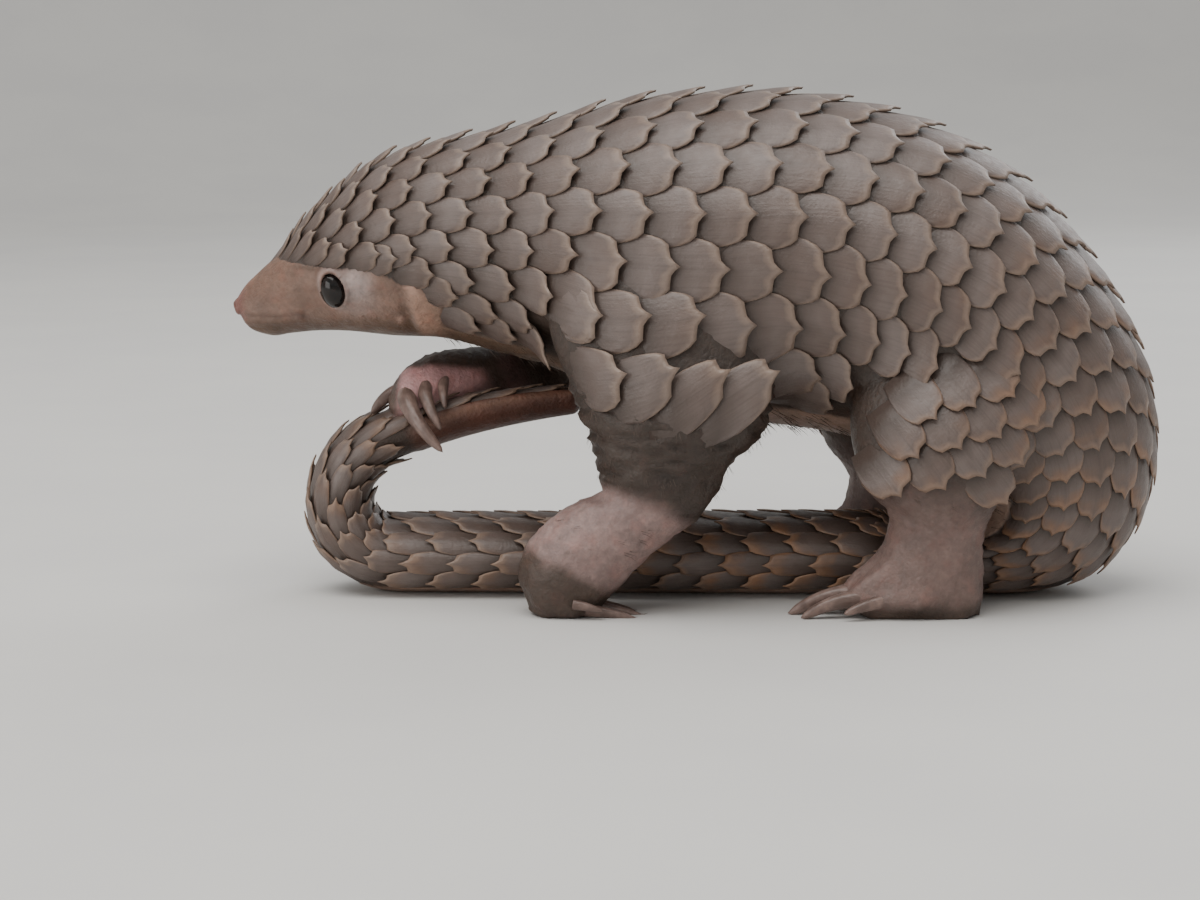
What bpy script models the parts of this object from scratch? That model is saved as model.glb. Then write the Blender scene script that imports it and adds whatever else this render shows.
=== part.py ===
"""A young white-bellied tree pangolin, life size, standing on a floor.

The back is arched, the head is held forward and low, and the tail runs forward under the belly
and curls up in front, where the right forepaw holds its end.

Lengths are in millimetres and turn into metres when a mesh is made. The head is towards -X, the
animal's left side is -Y, and the floor is z = 0. Head, body and tail are one course of sections
from the nose to the tip of the tail, and each leg with its foot is another. A section is an
ellipse in the plane of its upper and lower point. The nodes are lengths of these courses, cut
flat. Their scutes are plates raised in the node's own surface, row by row, with the free rear
edge of each lying over the next.
"""
import math
import random

import bmesh
import bpy
import numpy as np
from mathutils import Matrix, Vector

MM = 0.001
MERGE = 0.000002           # metres, for corners that a Boolean leaves twice
GAP = 0.3                  # between neighbouring nodes
CUT_MARGIN = 0.15          # added where a leg, foot or claw is cut to the shape of the body
CUTTER_REACH = 6.0         # by which the body's cutter runs past what it cuts
CUTTER_SIDES = 36
CUTTER_STEP = 3.6
TAIL_CUTTER_SIDES = 24
TAIL_CUTTER_STEP = 2.6
FOOT_CUTTER_SIDES = 20
FOOT_CUTTER_STEP = 2.0
FOOT_SIDES = 16
FOOT_STEP = 2.4
FOOT_BULGE = 1.2           # by which a foot's end stands out past its last section
SEED = 7

# Scutes
PLATE_LIFT = 1.05          # height of a free rear edge above the skin
PLATE_TUCK = 0.5           # part of that height at a plate's side corners
PLATE_POINT = 0.3          # how far the corners lie before the tip, in half rows
PLATE_VARIES = 0.12        # share by which lift and tip differ from plate to plate
CROWN_LIFT = 0.45          # share of the lift on the first plates of the crown
CROWN_LENGTH = 20.0        # over which that share grows to the whole
TAIL_LIFT = 0.85           # share of the lift on the tail
LEG_LIFT = 1.2             # share of the lift on the legs
BODY_FILES = 20            # files of plates round the body, the smooth belly included
TAIL_FILES = 12
LEG_FILES = 10
HALF_ROW_HEAD = 2.65       # half the length of a plate that shows, along the back
HALF_ROW_NECK = 3.0
HALF_ROW_BODY = 3.6
HALF_ROW_TAIL = 3.4
HALF_ROW_LEG = 4.0
BELLY_ANGLE = 148.0        # where the plates end at the bare belly, in degrees from the back line
CROWN_START = -64.6        # x of the first plate on the head
CROWN_CURVE = 0.1          # how much further back it starts for each mm off the middle
FACE_TOP = 50.6            # z of the edge between the bare face and the crown's plates
FACE_TOP_OUT = 9.0         # distance from the middle plane at which that height is given
FACE_TOP_FALL = 0.14       # fall of that edge for each mm further out
FACE_SLOPE_START = -48.5   # x where that edge starts down behind the eye
FACE_SLOPE = 0.62
CHEEK_BOTTOM = 41.5        # z below which the cheek carries no plates
LEG_CLEARANCE = 1.8        # smooth skin kept round the root of a leg
FLOOR_CLEARANCE = 1.2      # height above the floor at which the tail's plates start
TAIL_ROOT_BARE = 120.0     # degrees from the outer line past which the tail's root is bare
TAIL_END_BARE = 75.0       # the same near the tip, where the underside is a bare pad
TAIL_PAD_LENGTH = 26.0
CURL_BARE = 105.0          # the same on the inner side of the curl

# Sections of head and body: upper point (x, z), lower point (x, z), half width.
BODY = [
    ((-71.2, 44.5), (-70.3, 42.6), 1.4),
    ((-69.7, 46.9), (-68.9, 40.6), 3.0),
    ((-67.4, 49.2), (-65.8, 39.5), 4.3),
    ((-64.2, 52.2), (-62.8, 39.8), 5.6),
    ((-60.9, 56.6), (-58.8, 40.2), 7.6),
    ((-56.2, 61.1), (-54.2, 40.2), 9.8),
    ((-49.2, 66.2), (-46.8, 39.5), 12.2),
    ((-40.8, 68.8), (-38.5, 39.1), 14.3),
    ((-30.8, 70.6), (-29.5, 36.9), 17.0),
    ((-21.5, 72.6), (-21.8, 34.6), 20.5),
    ((-10.8, 75.2), (-11.8, 29.5), 23.2),
    ((0.0, 76.3), (-1.1, 26.9), 24.7),
    ((10.8, 76.5), (9.7, 26.2), 25.2),
    ((22.8, 74.9), (19.2, 24.9), 25.2),
    ((36.2, 70.8), (25.8, 23.1), 25.0),
    ((48.9, 63.1), (30.3, 20.8), 24.2),
    ((58.5, 52.5), (33.5, 18.3), 22.8),
    ((65.5, 40.9), (35.7, 15.7), 20.6),
    ((69.2, 29.5), (37.1, 13.9), 18.2),
    ((69.7, 19.7), (37.8, 12.9), 16.0),
    ((67.2, 10.5), (37.4, 12.2), 14.4),
    ((60.9, 3.1), (35.6, 11.9), 13.2),
    ((51.7, 0.1), (33.0, 11.8), 12.4),
    ((40.8, -0.3), (29.6, 11.8), 11.8),
    ((26.0, -0.4), (25.4, 11.8), 11.4),
]
HEAD_END = 7               # sections at which the nodes meet
NECK_END = 9
FRONT_END = 13
REAR_END = 18

# The tail's course after the last body section: length, turn in degrees.
TAIL_COURSE = [(73.0, 0.0), (12.8, -90.0), (13.0, -72.0), (29.0, -14.0)]
TAIL_STEP = 3.0
TAIL_THICKNESS = [(0.0, 12.2), (0.56, 11.8), (0.7, 9.6), (0.78, 8.0), (0.87, 6.0), (1.0, 3.4)]
TAIL_HALF_WIDTH = [(0.0, 11.4), (0.55, 9.4), (0.76, 7.0), (0.88, 5.2), (1.0, 3.0)]
TAIL_TWIST_START = 0.76    # share of the tail from which it twists, its left edge rising
TAIL_TWIST = 36.0          # degrees at the tip
TAIL_CUTS = (0.49, 0.71)   # where the tail is parted, as shares of its course
TAIL_END_BULGE = 1.6

# Legs: front point (x, z), back point (x, z), y, half thickness; then where leg and foot part.
FORELEG_LEFT = [
    ((-21.0, 58.0), (0.0, 60.5), -12.0, 7.0),
    ((-23.5, 49.5), (8.0, 51.5), -16.0, 8.2),
    ((-22.5, 41.0), (10.0, 42.3), -19.0, 8.4),
    ((-19.2, 33.3), (9.8, 34.6), -20.6, 8.2),
    ((-16.6, 26.8), (7.7, 27.0), -21.4, 7.4),
    ((-14.6, 21.6), (2.6, 21.6), -21.0, 6.2),
    ((-14.8, 18.6), (-1.4, 15.0), -20.6, 5.4),
    ((-19.2, 16.6), (-5.2, 11.4), -20.4, 5.6),
    ((-23.4, 13.4), (-9.6, 7.6), -20.2, 5.8),
    ((-26.6, 9.2), (-14.2, 2.6), -20.0, 5.6),
    ((-27.0, 4.6), (-17.4, -0.5), -20.0, 4.8),
    ((-25.6, 1.2), (-20.4, -0.6), -20.0, 3.4),
]
FORELEG_LEFT_CUT = 6
FORELEG_RIGHT = [
    ((-21.0, 58.0), (0.0, 60.5), 13.0, 7.0),
    ((-25.0, 48.5), (5.0, 45.0), 17.0, 8.2),
    ((-26.0, 41.5), (-3.0, 34.5), 18.5, 7.6),
    ((-26.4, 38.0), (-15.4, 26.2), 17.4, 6.6),
    ((-29.0, 37.0), (-23.4, 26.8), 14.0, 5.8),
    ((-32.8, 36.6), (-30.0, 27.4), 9.6, 5.8),
    ((-37.6, 36.6), (-36.0, 27.6), 5.4, 6.2),
    ((-42.0, 36.0), (-40.6, 27.4), 2.2, 6.8),
    ((-45.6, 33.8), (-43.8, 26.6), 0.0, 6.6),
    ((-47.4, 31.0), (-46.0, 26.6), -0.8, 4.6),
]
FORELEG_RIGHT_CUT = 5
HIND_LEG = [
    ((27.0, 43.0), (49.0, 40.0), 12.5, 8.0),
    ((22.5, 35.0), (48.6, 32.5), 17.2, 8.8),
    ((21.5, 26.6), (45.6, 24.0), 20.2, 8.6),
    ((23.6, 19.6), (42.8, 17.0), 21.2, 7.0),
    ((27.4, 14.4), (40.8, 11.6), 20.8, 5.8),
    ((26.4, 10.4), (41.0, 5.6), 20.6, 5.6),
    ((24.4, 7.8), (40.0, -0.5), 20.6, 5.6),
    ((22.0, 5.6), (33.0, -0.6), 20.6, 5.6),
    ((20.4, 3.6), (25.4, -0.5), 20.6, 4.6),
]
HIND_LEG_CUT = 4
HIND_RIGHT_SHIFT = -2.3    # the right hind foot stands a little further forward
FORELEG_PLATES_END = 0.46  # share of the leg's course that carries plates
HIND_LEG_PLATES_END = 0.34

# Head, all on its left side; the right side is its mirror image
EYE_PLACE = (-55.3, 47.3)
EYE_RADII = (2.3, 2.6, 3.1)
EYE_DEPTH = 1.7            # from the skin to the middle of the eye
EYE_LEAN = 0.25            # the tall oval leans forward at its top, in radians
LID_RING = (2.25, 2.85)
LID_RADIUS = 0.46
LID_STEPS = 12
NOSTRIL = (-71.0, -0.85, 43.9)
NOSTRIL_RADII = (0.75, 0.42, 0.5)
MOUTH_FRONT = -70.3
MOUTH_TURN = -69.0         # from here the mouth bends round the snout
MOUTH_BACK = -60.2
MOUTH_HEIGHT = 42.6
MOUTH_RADIUS = 0.3
LIP_RADIUS = 0.5
MOUTH_END = 0.4            # share of the radius at the corner, and its growth to a step
MOUTH_SWELL = 0.3
EAR_PLACE = (-43.6, 44.6)
EAR_CUP_RADII = (1.6, 1.3, 2.4)
EAR_RIM = (2.0, 3.3)
EAR_RIM_RADIUS = 1.35
EAR_RIM_END = 0.35         # share of the radius at the ends of the rim
EAR_STEPS = 9
EAR_SLEEVE_LENGTH = 4.0    # how far past the head the cutter for the ears reaches
EAR_SLEEVE_AROUND = 32
EAR_SLEEVE_STEP = 3.0
EAR_BARE = 5.8             # radius of the bare skin round the ear

# Claws: place of the root, direction, bend, length, radius, thumb first
CLAW_DEPTH = 1.4           # radii by which a claw's root is sunk in the toe
CLAW_TAPER = 0.62
CLAW_TAPER_POWER = 1.4
CLAW_HEIGHT = 1.1          # share of the radius upright, and across
CLAW_WIDTH = 0.85
FOREFOOT_CLAWS = [
    ((-18.2, -15.7, 2.2), (1.0, 0.1, -0.15), (0.0, 0.0, -0.2), 3.6, 0.85),
    ((-18.6, -17.5, 1.5), (1.0, 0.0, -0.05), (0.0, 0.0, -0.25), 9.0, 1.15),
    ((-19.4, -20.3, 1.6), (1.0, 0.0, -0.05), (0.0, 0.0, -0.25), 11.4, 1.35),
    ((-18.6, -23.1, 1.5), (1.0, 0.0, -0.05), (0.0, 0.0, -0.25), 9.0, 1.15),
    ((-18.2, -24.9, 2.3), (1.0, -0.1, -0.15), (0.0, 0.0, -0.2), 3.6, 0.85),
]
GRIPPING_CLAWS = [
    ((-39.4, -1.8, 33.0), (-0.1, -1.0, 0.1), (0.3, 0.1, -1.3), 6.4, 1.2),
    ((-42.4, -3.6, 32.6), (-0.3, -1.0, 0.1), (1.2, 0.15, -1.8), 9.2, 1.5),
    ((-45.2, -4.8, 31.6), (-0.45, -0.95, 0.0), (2.0, 0.2, -1.8), 12.6, 1.8),
    ((-46.2, -1.2, 31.6), (-1.0, -0.25, 0.1), (0.2, 0.0, -1.3), 5.8, 1.4),
    ((-46.0, 3.4, 31.4), (-1.0, 0.15, 0.1), (0.2, 0.0, -1.2), 4.8, 1.15),
]
HIND_CLAWS = [
    ((24.8, -16.2, 2.8), (-1.0, 0.25, -0.1), (0.0, 0.0, -0.35), 5.0, 1.15),
    ((22.0, -17.6, 3.2), (-1.0, 0.08, 0.1), (0.0, 0.0, -0.75), 8.6, 1.5),
    ((21.4, -20.6, 3.5), (-1.0, 0.0, 0.12), (0.0, 0.0, -0.8), 9.8, 1.65),
    ((22.0, -23.6, 3.2), (-1.0, -0.08, 0.1), (0.0, 0.0, -0.75), 8.6, 1.5),
    ((24.8, -25.3, 2.8), (-1.0, -0.25, -0.1), (0.0, 0.0, -0.35), 5.0, 1.15),
]

# Colours
SCUTE_BROWN = (0.165, 0.125, 0.105, 1.0)
TAIL_BROWN = (0.125, 0.09, 0.07, 1.0)
FACE_PINK = (0.30, 0.19, 0.155, 1.0)
FOOT_MAUVE = (0.22, 0.155, 0.15, 1.0)
CLAW_HORN = (0.10, 0.07, 0.06, 1.0)
EYE_BLACK = (0.01, 0.009, 0.009, 1.0)


def smooth_rows(knots, rows, at):
    """Rows of numbers on a smooth curve through the given rows, at the given knot values."""
    rows = np.array(rows, float)
    slopes = np.zeros_like(rows)
    steps = np.diff(knots)[:, None]
    chords = np.diff(rows, axis=0) / steps
    slopes[0] = chords[0]
    slopes[-1] = chords[-1]
    before, after = steps[:-1], steps[1:]
    slopes[1:-1] = (chords[:-1] * after + chords[1:] * before) / (before + after)
    index = np.clip(np.searchsorted(knots, at) - 1, 0, len(knots) - 2)
    width = (knots[index + 1] - knots[index])[:, None]
    t = (at[:, None] - knots[index][:, None]) / width
    start, end = rows[index], rows[index + 1]
    out_start, out_end = slopes[index] * width, slopes[index + 1] * width
    return (start * (2 * t**3 - 3 * t**2 + 1) + out_start * (t**3 - 2 * t**2 + t)
            + end * (3 * t**2 - 2 * t**3) + out_end * (t**3 - t**2))


class Course:
    """A row of elliptical sections, smooth between the given ones, measured along its upper line."""

    SAMPLES = 12
    UPPER_SHARE = 0.7          # the rest of the measured distance comes from the middle line

    def __init__(self, sections):
        self.twist = None          # a function of the distance, in radians
        rows = [(*upper, *lower, y, half) for upper, lower, y, half in sections]
        upper = np.array(rows)[:, :2]
        steps = np.linalg.norm(np.diff(upper, axis=0), axis=1)
        middle = np.array(rows)[:, :2] + np.array(rows)[:, 2:4]
        middle_steps = np.linalg.norm(np.diff(middle, axis=0), axis=1) / 2
        steps = self.UPPER_SHARE * steps + (1 - self.UPPER_SHARE) * middle_steps
        self.knots = np.concatenate([[0.0], np.cumsum(steps)])
        self.length = self.knots[-1]
        count = (len(rows) - 1) * self.SAMPLES + 1
        self.at = np.linspace(0.0, self.length, count)
        self.rows = smooth_rows(self.knots, rows, self.at)

    def section(self, s):
        """Centre, unit vector to the upper point, half depth and half width at a distance."""
        row = [np.interp(s, self.at, column) for column in self.rows.T]
        upper = Vector((row[0], row[4], row[1]))
        lower = Vector((row[2], row[4], row[3]))
        reach = (upper - lower) / 2
        return (upper + lower) / 2, reach.normalized(), reach.length, row[5]

    def heading(self, s):
        """Unit normal of the section's plane, towards the far end of the course."""
        _, up, _, _ = self.section(s)
        normal = up.cross(Vector((0, 1, 0)))
        ahead = self.section(min(s + 0.5, self.length))[0] - self.section(max(s - 0.5, 0.0))[0]
        return normal if normal.dot(ahead) > 0 else -normal

    def point(self, s, turn, lift=0.0, shift=0.0):
        """A point round the section: turn is 0 on the upper line and 0.25 on the left side."""
        centre, up, depth, width = self.section(s)
        angle = turn * 2 * math.pi
        normal = Vector((math.cos(angle) / depth, math.sin(angle) / width)).normalized()
        rise = depth * math.cos(angle) + lift * normal.x
        side = width * math.sin(angle) + lift * normal.y
        if self.twist:
            twist = self.twist(s)
            rise, side = (rise * math.cos(twist) + side * math.sin(twist),
                          side * math.cos(twist) - rise * math.sin(twist))
        place = centre + up * rise + Vector((0, -side, 0))
        if shift:
            place = place + self.heading(s) * shift
        return set_on_floor(place, up)


def set_on_floor(place, up):
    """Press a point that is below the floor flat, in the plane of its section."""
    if place.z >= 0:
        return place
    if abs(up.z) > 0.5:
        place = place - up * (place.z / up.z)
    return Vector((place.x, place.y, 0.0))


def tail_sections(start):
    """Sections of the tail from its course, thickness and width."""
    (upper_x, upper_z), (lower_x, lower_z), _, _ = start
    x, z = (upper_x + lower_x) / 2, (upper_z + lower_z) / 2
    heading = 180.0
    total = sum(length for length, _ in TAIL_COURSE)
    done = 0.0
    sections = []
    for length, turn in TAIL_COURSE:
        steps = max(2, round(length / TAIL_STEP))
        for _ in range(steps):
            angle = math.radians(heading + turn / steps / 2)
            x += math.cos(angle) * length / steps
            z += math.sin(angle) * length / steps
            heading += turn / steps
            done += length / steps
            share = done / total
            half = np.interp(share, *zip(*TAIL_THICKNESS)) / 2
            width = np.interp(share, *zip(*TAIL_HALF_WIDTH))
            out = math.radians(heading + 90.0)
            out_x, out_z = math.cos(out) * half, math.sin(out) * half
            sections.append(((x + out_x, z + out_z), (x - out_x, z - out_z), 0.0, width))
    return sections


class Mesh:
    """Collects polygons by their corners and turns them into a closed mesh."""

    def __init__(self):
        self.corners = {}
        self.points = []
        self.faces = []

    def corner(self, place):
        key = tuple(round(value * 20000) for value in place)
        if key not in self.corners:
            self.corners[key] = len(self.points)
            self.points.append(Vector(place))
        return self.corners[key]

    def face(self, *places):
        ring = []
        for place in places:
            index = self.corner(place)
            if index not in ring:
                ring.append(index)
        if len(ring) > 2:
            self.faces.append(ring)

    def fan(self, ring, centre):
        for first, second in zip(ring, ring[1:] + ring[:1]):
            self.face(first, second, centre)

    def make(self, name, collection, material=None):
        data = bpy.data.meshes.new(name)
        data.from_pydata([place * MM for place in self.points], [], self.faces)
        whole = bmesh.new()
        whole.from_mesh(data)
        bmesh.ops.recalc_face_normals(whole, faces=whole.faces)
        if whole.calc_volume(signed=True) < 0:
            bmesh.ops.reverse_faces(whole, faces=whole.faces)
        bmesh.ops.triangulate(whole, faces=whole.faces)
        whole.to_mesh(data)
        whole.free()
        node = bpy.data.objects.new(name, data)
        collection.objects.link(node)
        if material:
            data.materials.append(material)
        return node


def half_rows(start, end, spacing):
    """Distances of the half rows from start to end, with an even count of steps."""
    steps = max(2, 2 * round((end - start) / spacing / 2))
    return list(np.linspace(start, end, steps + 1))


def plated_length(course, rows, files, raised, start_cut=True, end_cut=True, bulge=0.0):
    """A closed length of a course with its plates raised on it.

    Rows are the distances of the plates' tips. Even rows carry the even files and odd rows the
    odd ones. A plate's tip and rear corners are at full lift, its side corners, half a row
    further forward, are tucked to half lift, and its root lies on the skin under the tip of the
    plate before it.
    """
    mesh = Mesh()
    chance = random.Random(SEED + files + len(rows))
    last = len(rows) - 1
    tip_moves = {}
    lifts = {}
    for row in range(-1, last + 3):
        for file in range(files):
            tip_moves[row, file] = chance.uniform(-PLATE_VARIES, PLATE_VARIES)
            lifts[row, file] = 1 + chance.uniform(-PLATE_VARIES, PLATE_VARIES)

    def shift(row):
        if row == 0 and start_cut:
            return GAP / 2
        if row == last and end_cut:
            return -GAP / 2
        return 0.0

    def inner(row):
        return 0 < row < last

    def raise_of(s, turn, share):
        return PLATE_LIFT * share * raised(s, turn, course.point(s, turn))

    def corner(row, line, level):
        s = rows[row] - (PLATE_POINT * (rows[row] - rows[row - 1]) if inner(row) else 0.0)
        turn = (line - 0.5) / files
        return course.point(s, turn, raise_of(s, turn, level), shift(row))

    def tip(row, file, level):
        step = rows[row] - rows[row - 1] if row else 0.0
        s = rows[row] + (step * tip_moves[row, file % files] if inner(row) else 0.0)
        turn = file / files
        rise = raise_of(s, turn, level * lifts[row, file % files])
        return course.point(s, turn, rise, shift(row))

    def top(row, file):
        """The plate whose tip is in this row, or the part of it between the two cuts."""
        left, right = file, file + 1
        if row == last + 1:
            rear = [corner(last, left, PLATE_TUCK), corner(last, right, PLATE_TUCK)]
        else:
            rear = [corner(row, left, 1), tip(row, file, 1), corner(row, right, 1)]
        if row == 1:
            mesh.face(rear[0], rear[1], rear[2])
            mesh.face(rear[0], rear[2], corner(0, right, PLATE_TUCK), corner(0, left, PLATE_TUCK))
            return
        root = [corner(row - 2, left, 0), tip(row - 2, file, 0), corner(row - 2, right, 0)]
        if row == last + 1:
            mesh.face(rear[0], rear[1], root[1])
            mesh.face(rear[0], root[1], root[0])
            mesh.face(rear[1], root[2], root[1])
            return
        sides = [corner(row - 1, left, PLATE_TUCK), corner(row - 1, right, PLATE_TUCK)]
        mesh.face(rear[0], rear[1], rear[2])
        mesh.face(rear[0], rear[2], sides[1])
        mesh.face(rear[0], sides[1], sides[0])
        mesh.face(sides[0], sides[1], root[1])
        mesh.face(sides[0], root[1], root[0])
        mesh.face(sides[1], root[2], root[1])

    def rear_edge(row, file):
        for line in (file, file + 1):
            mesh.face(corner(row, line, 1), tip(row, file, 1), tip(row, file, 0))
            mesh.face(corner(row, line, 1), tip(row, file, 0), corner(row, line, PLATE_TUCK))
            mesh.face(corner(row, line, PLATE_TUCK), tip(row, file, 0), corner(row, line, 0))

    def side_edges(row, file):
        for line in (file, file + 1):
            mesh.face(corner(row, line, 1), corner(row, line, PLATE_TUCK),
                      corner(row - 1, line, 0))
            mesh.face(corner(row, line, 1), corner(row - 1, line, 0),
                      corner(row - 1, line, PLATE_TUCK))

    for row in range(1, last + 2):
        for file in range(row % 2, files, 2):
            top(row, file)
            if row <= last:
                side_edges(row, file)
            if row < last:
                rear_edge(row, file)

    def cut_ring(row, level):
        ring = []
        for file in range(files):
            ring.append(corner(row, file, PLATE_TUCK))
            if file % 2 == row % 2:
                ring += [corner(row, file, level), tip(row, file, level)]
                ring += [corner(row, file + 1, level)]
        return [place for place, follower in zip(ring, ring[1:] + ring[:1])
                if (place - follower).length > 1e-5]

    start, _, _, _ = course.section(rows[0])
    end, _, _, _ = course.section(rows[last])
    mesh.fan(cut_ring(0, 0), start + course.heading(rows[0]) * shift(0))
    rear_cap = end + course.heading(rows[last]) * (shift(last) + bulge)
    mesh.fan(cut_ring(last, 1), rear_cap)
    return mesh


def smooth_length(course, start, end, around, step, lift=0.0, start_shift=0.0, end_shift=0.0,
                  start_bulge=0.0, end_bulge=0.0):
    """A closed smooth length of a course. Lift is a number, or a function of distance and turn."""
    mesh = Mesh()
    steps = max(2, round((end - start) / step))
    rings = []
    for row in range(steps + 1):
        s = start + (end - start) * row / steps
        shift = start_shift if row == 0 else end_shift if row == steps else 0.0
        ring = []
        for line in range(around):
            turn = line / around
            rise = lift(s, turn) if callable(lift) else lift
            ring.append(course.point(s, turn, rise, shift))
        rings.append(ring)
    for near, far in zip(rings, rings[1:]):
        for line in range(around):
            following = (line + 1) % around
            mesh.face(near[line], near[following], far[following])
            mesh.face(near[line], far[following], far[line])
    first = course.section(start)[0] + course.heading(start) * (start_shift - start_bulge)
    final = course.section(end)[0] + course.heading(end) * (end_shift + end_bulge)
    mesh.fan(rings[0], first)
    mesh.fan(rings[-1], Vector((final.x, final.y, max(final.z, 0.0))))
    return mesh


def horn(root, direction, bend, length, radius, sides=5, rings=4):
    """A curved, tapering claw: it starts along direction and curls towards bend."""
    mesh = Mesh()
    direction, bend = Vector(direction).normalized(), Vector(bend)
    across = direction.cross(bend).normalized()
    place = Vector(root) - direction * radius * CLAW_DEPTH
    heading = direction.copy()
    step = (length + radius * CLAW_DEPTH) / rings
    circles = []
    for ring in range(rings):
        share = ring / rings
        size = radius * (1 - CLAW_TAPER * share**CLAW_TAPER_POWER)
        up = across.cross(heading).normalized()
        circle = []
        for side in range(sides):
            angle = 2 * math.pi * side / sides
            rise = math.cos(angle) * size * CLAW_HEIGHT
            side_step = math.sin(angle) * size * CLAW_WIDTH
            corner = place + up * rise + across * side_step
            circle.append(Vector((corner.x, corner.y, max(corner.z, 0.0))))
        circles.append(circle)
        heading = (heading + bend / rings).normalized()
        place = place + heading * step
    for near, far in zip(circles, circles[1:]):
        for side in range(sides):
            following = (side + 1) % sides
            mesh.face(near[side], near[following], far[following])
            mesh.face(near[side], far[following], far[side])
    mesh.fan(circles[0], place_centre(circles[0]))
    mesh.fan(circles[-1], Vector((place.x, place.y, max(place.z, 0.25))))
    return mesh


def place_centre(ring):
    return sum(ring, Vector()) / len(ring)


def material(name, colour, roughness):
    finish = bpy.data.materials.new(name)
    finish.use_nodes = True
    shader = finish.node_tree.nodes["Principled BSDF"]
    shader.inputs["Base Color"].default_value = colour
    shader.inputs["Roughness"].default_value = roughness
    shader.inputs["Metallic"].default_value = 0.0
    return finish


def collection(name):
    group = bpy.data.collections.new(name)
    bpy.context.scene.collection.children.link(group)
    return group


def as_cutter(node):
    node.hide_render = True
    node.display_type = "WIRE"
    return node


def combine(node, others, operation, solver="EXACT"):
    """Apply a Boolean with each of the other objects and keep the largest closed surface."""
    for other in others:
        change = node.modifiers.new(operation.lower(), "BOOLEAN")
        change.operation = operation
        change.solver = solver
        change.object = other
    bpy.context.view_layer.update()
    evaluated = node.evaluated_get(bpy.context.evaluated_depsgraph_get())
    data = bpy.data.meshes.new_from_object(evaluated)
    node.modifiers.clear()
    node.data = data
    keep_largest(data)
    return node


def keep_largest(data):
    """Drop all but the largest connected surface, and merge corners that coincide."""
    whole = bmesh.new()
    whole.from_mesh(data)
    bmesh.ops.remove_doubles(whole, verts=whole.verts, dist=MERGE)
    bmesh.ops.triangulate(whole, faces=whole.faces)
    left = set(whole.faces)
    pieces = []
    while left:
        stack = [left.pop()]
        piece = set(stack)
        while stack:
            face = stack.pop()
            for edge in face.edges:
                for other in edge.link_faces:
                    if other in left:
                        left.discard(other)
                        piece.add(other)
                        stack.append(other)
        pieces.append(piece)
    pieces.sort(key=lambda piece: sum(face.calc_area() for face in piece))
    for piece in pieces[:-1]:
        bmesh.ops.delete(whole, geom=list(piece), context="FACES")
    whole.to_mesh(data)
    whole.free()


def remove(nodes):
    for node in nodes:
        bpy.data.objects.remove(node)


def ellipsoid(centre, radii, group, turn=(0, 0, 0), segments=16, rings=10):
    whole = bmesh.new()
    bmesh.ops.create_uvsphere(whole, u_segments=segments, v_segments=rings, radius=1.0)
    data = bpy.data.meshes.new("ellipsoid")
    whole.to_mesh(data)
    whole.free()
    shape = Matrix.Diagonal((*[radius * MM for radius in radii], 1.0))
    tilt = Matrix.Rotation(turn[2], 4, "Z") @ Matrix.Rotation(turn[1], 4, "Y")
    tilt = tilt @ Matrix.Rotation(turn[0], 4, "X")
    data.transform(Matrix.Translation(Vector(centre) * MM) @ tilt @ shape)
    node = bpy.data.objects.new("ellipsoid", data)
    group.objects.link(node)
    return node


def bead(path, radii, group, sides=8):
    """A closed tube along points, with a radius at each of them."""
    mesh = Mesh()
    circles = []
    for index, place in enumerate(path):
        before = path[max(index - 1, 0)]
        after = path[min(index + 1, len(path) - 1)]
        along = (after - before).normalized()
        first = along.cross(Vector((0.31, 0.92, 0.24))).normalized()
        second = along.cross(first)
        circle = []
        for side in range(sides):
            angle = 2 * math.pi * side / sides
            circle.append(place + (first * math.cos(angle) + second * math.sin(angle))
                          * radii[index])
        circles.append(circle)
    for near, far in zip(circles, circles[1:]):
        for side in range(sides):
            following = (side + 1) % sides
            mesh.face(near[side], near[following], far[following])
            mesh.face(near[side], far[following], far[side])
    mesh.fan(circles[0], path[0])
    mesh.fan(circles[-1], path[-1])
    return mesh.make("bead", group)


def skin_y(spine, x, z):
    """How far the head's skin lies from the middle plane at a length and height."""
    place = Vector((x, 0.0, z))
    near, far = 0.0, spine.knots[NECK_END]
    for _ in range(24):
        middle = (near + far) / 2
        if (place - spine.section(middle)[0]).dot(spine.heading(middle)) > 0:
            near = middle
        else:
            far = middle
    centre, up, depth, width = spine.section(near)
    rise = (place - centre).dot(up) / depth
    return width * math.sqrt(max(0.02, 1 - rise * rise))


def side_ring(spine, place, radii, lean, start, end, steps, side, out=0.0):
    """Points of an upright oval laid on the side of the head, from one angle to another."""
    points = []
    for step in range(steps + 1):
        angle = math.radians(start + (end - start) * step / steps)
        across, rise = radii[0] * math.cos(angle), radii[1] * math.sin(angle)
        x = place[0] + across * math.cos(lean) - rise * math.sin(lean)
        z = place[1] + across * math.sin(lean) + rise * math.cos(lean)
        points.append(Vector((x, side * (skin_y(spine, x, z) + out), z)))
    return points


def mouth_path(spine, out):
    """Points along the mouth, from its left corner round the snout to its right corner."""
    half = []
    steps = 5
    for step in range(steps):
        x = MOUTH_BACK + (MOUTH_TURN - MOUTH_BACK) * step / (steps - 1)
        half.append(Vector((x, -skin_y(spine, x, MOUTH_HEIGHT) - out, MOUTH_HEIGHT)))
    front = Vector((MOUTH_FRONT - out, 0.0, MOUTH_HEIGHT))
    return half + [front] + [Vector((place.x, -place.y, place.z)) for place in reversed(half)]


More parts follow.
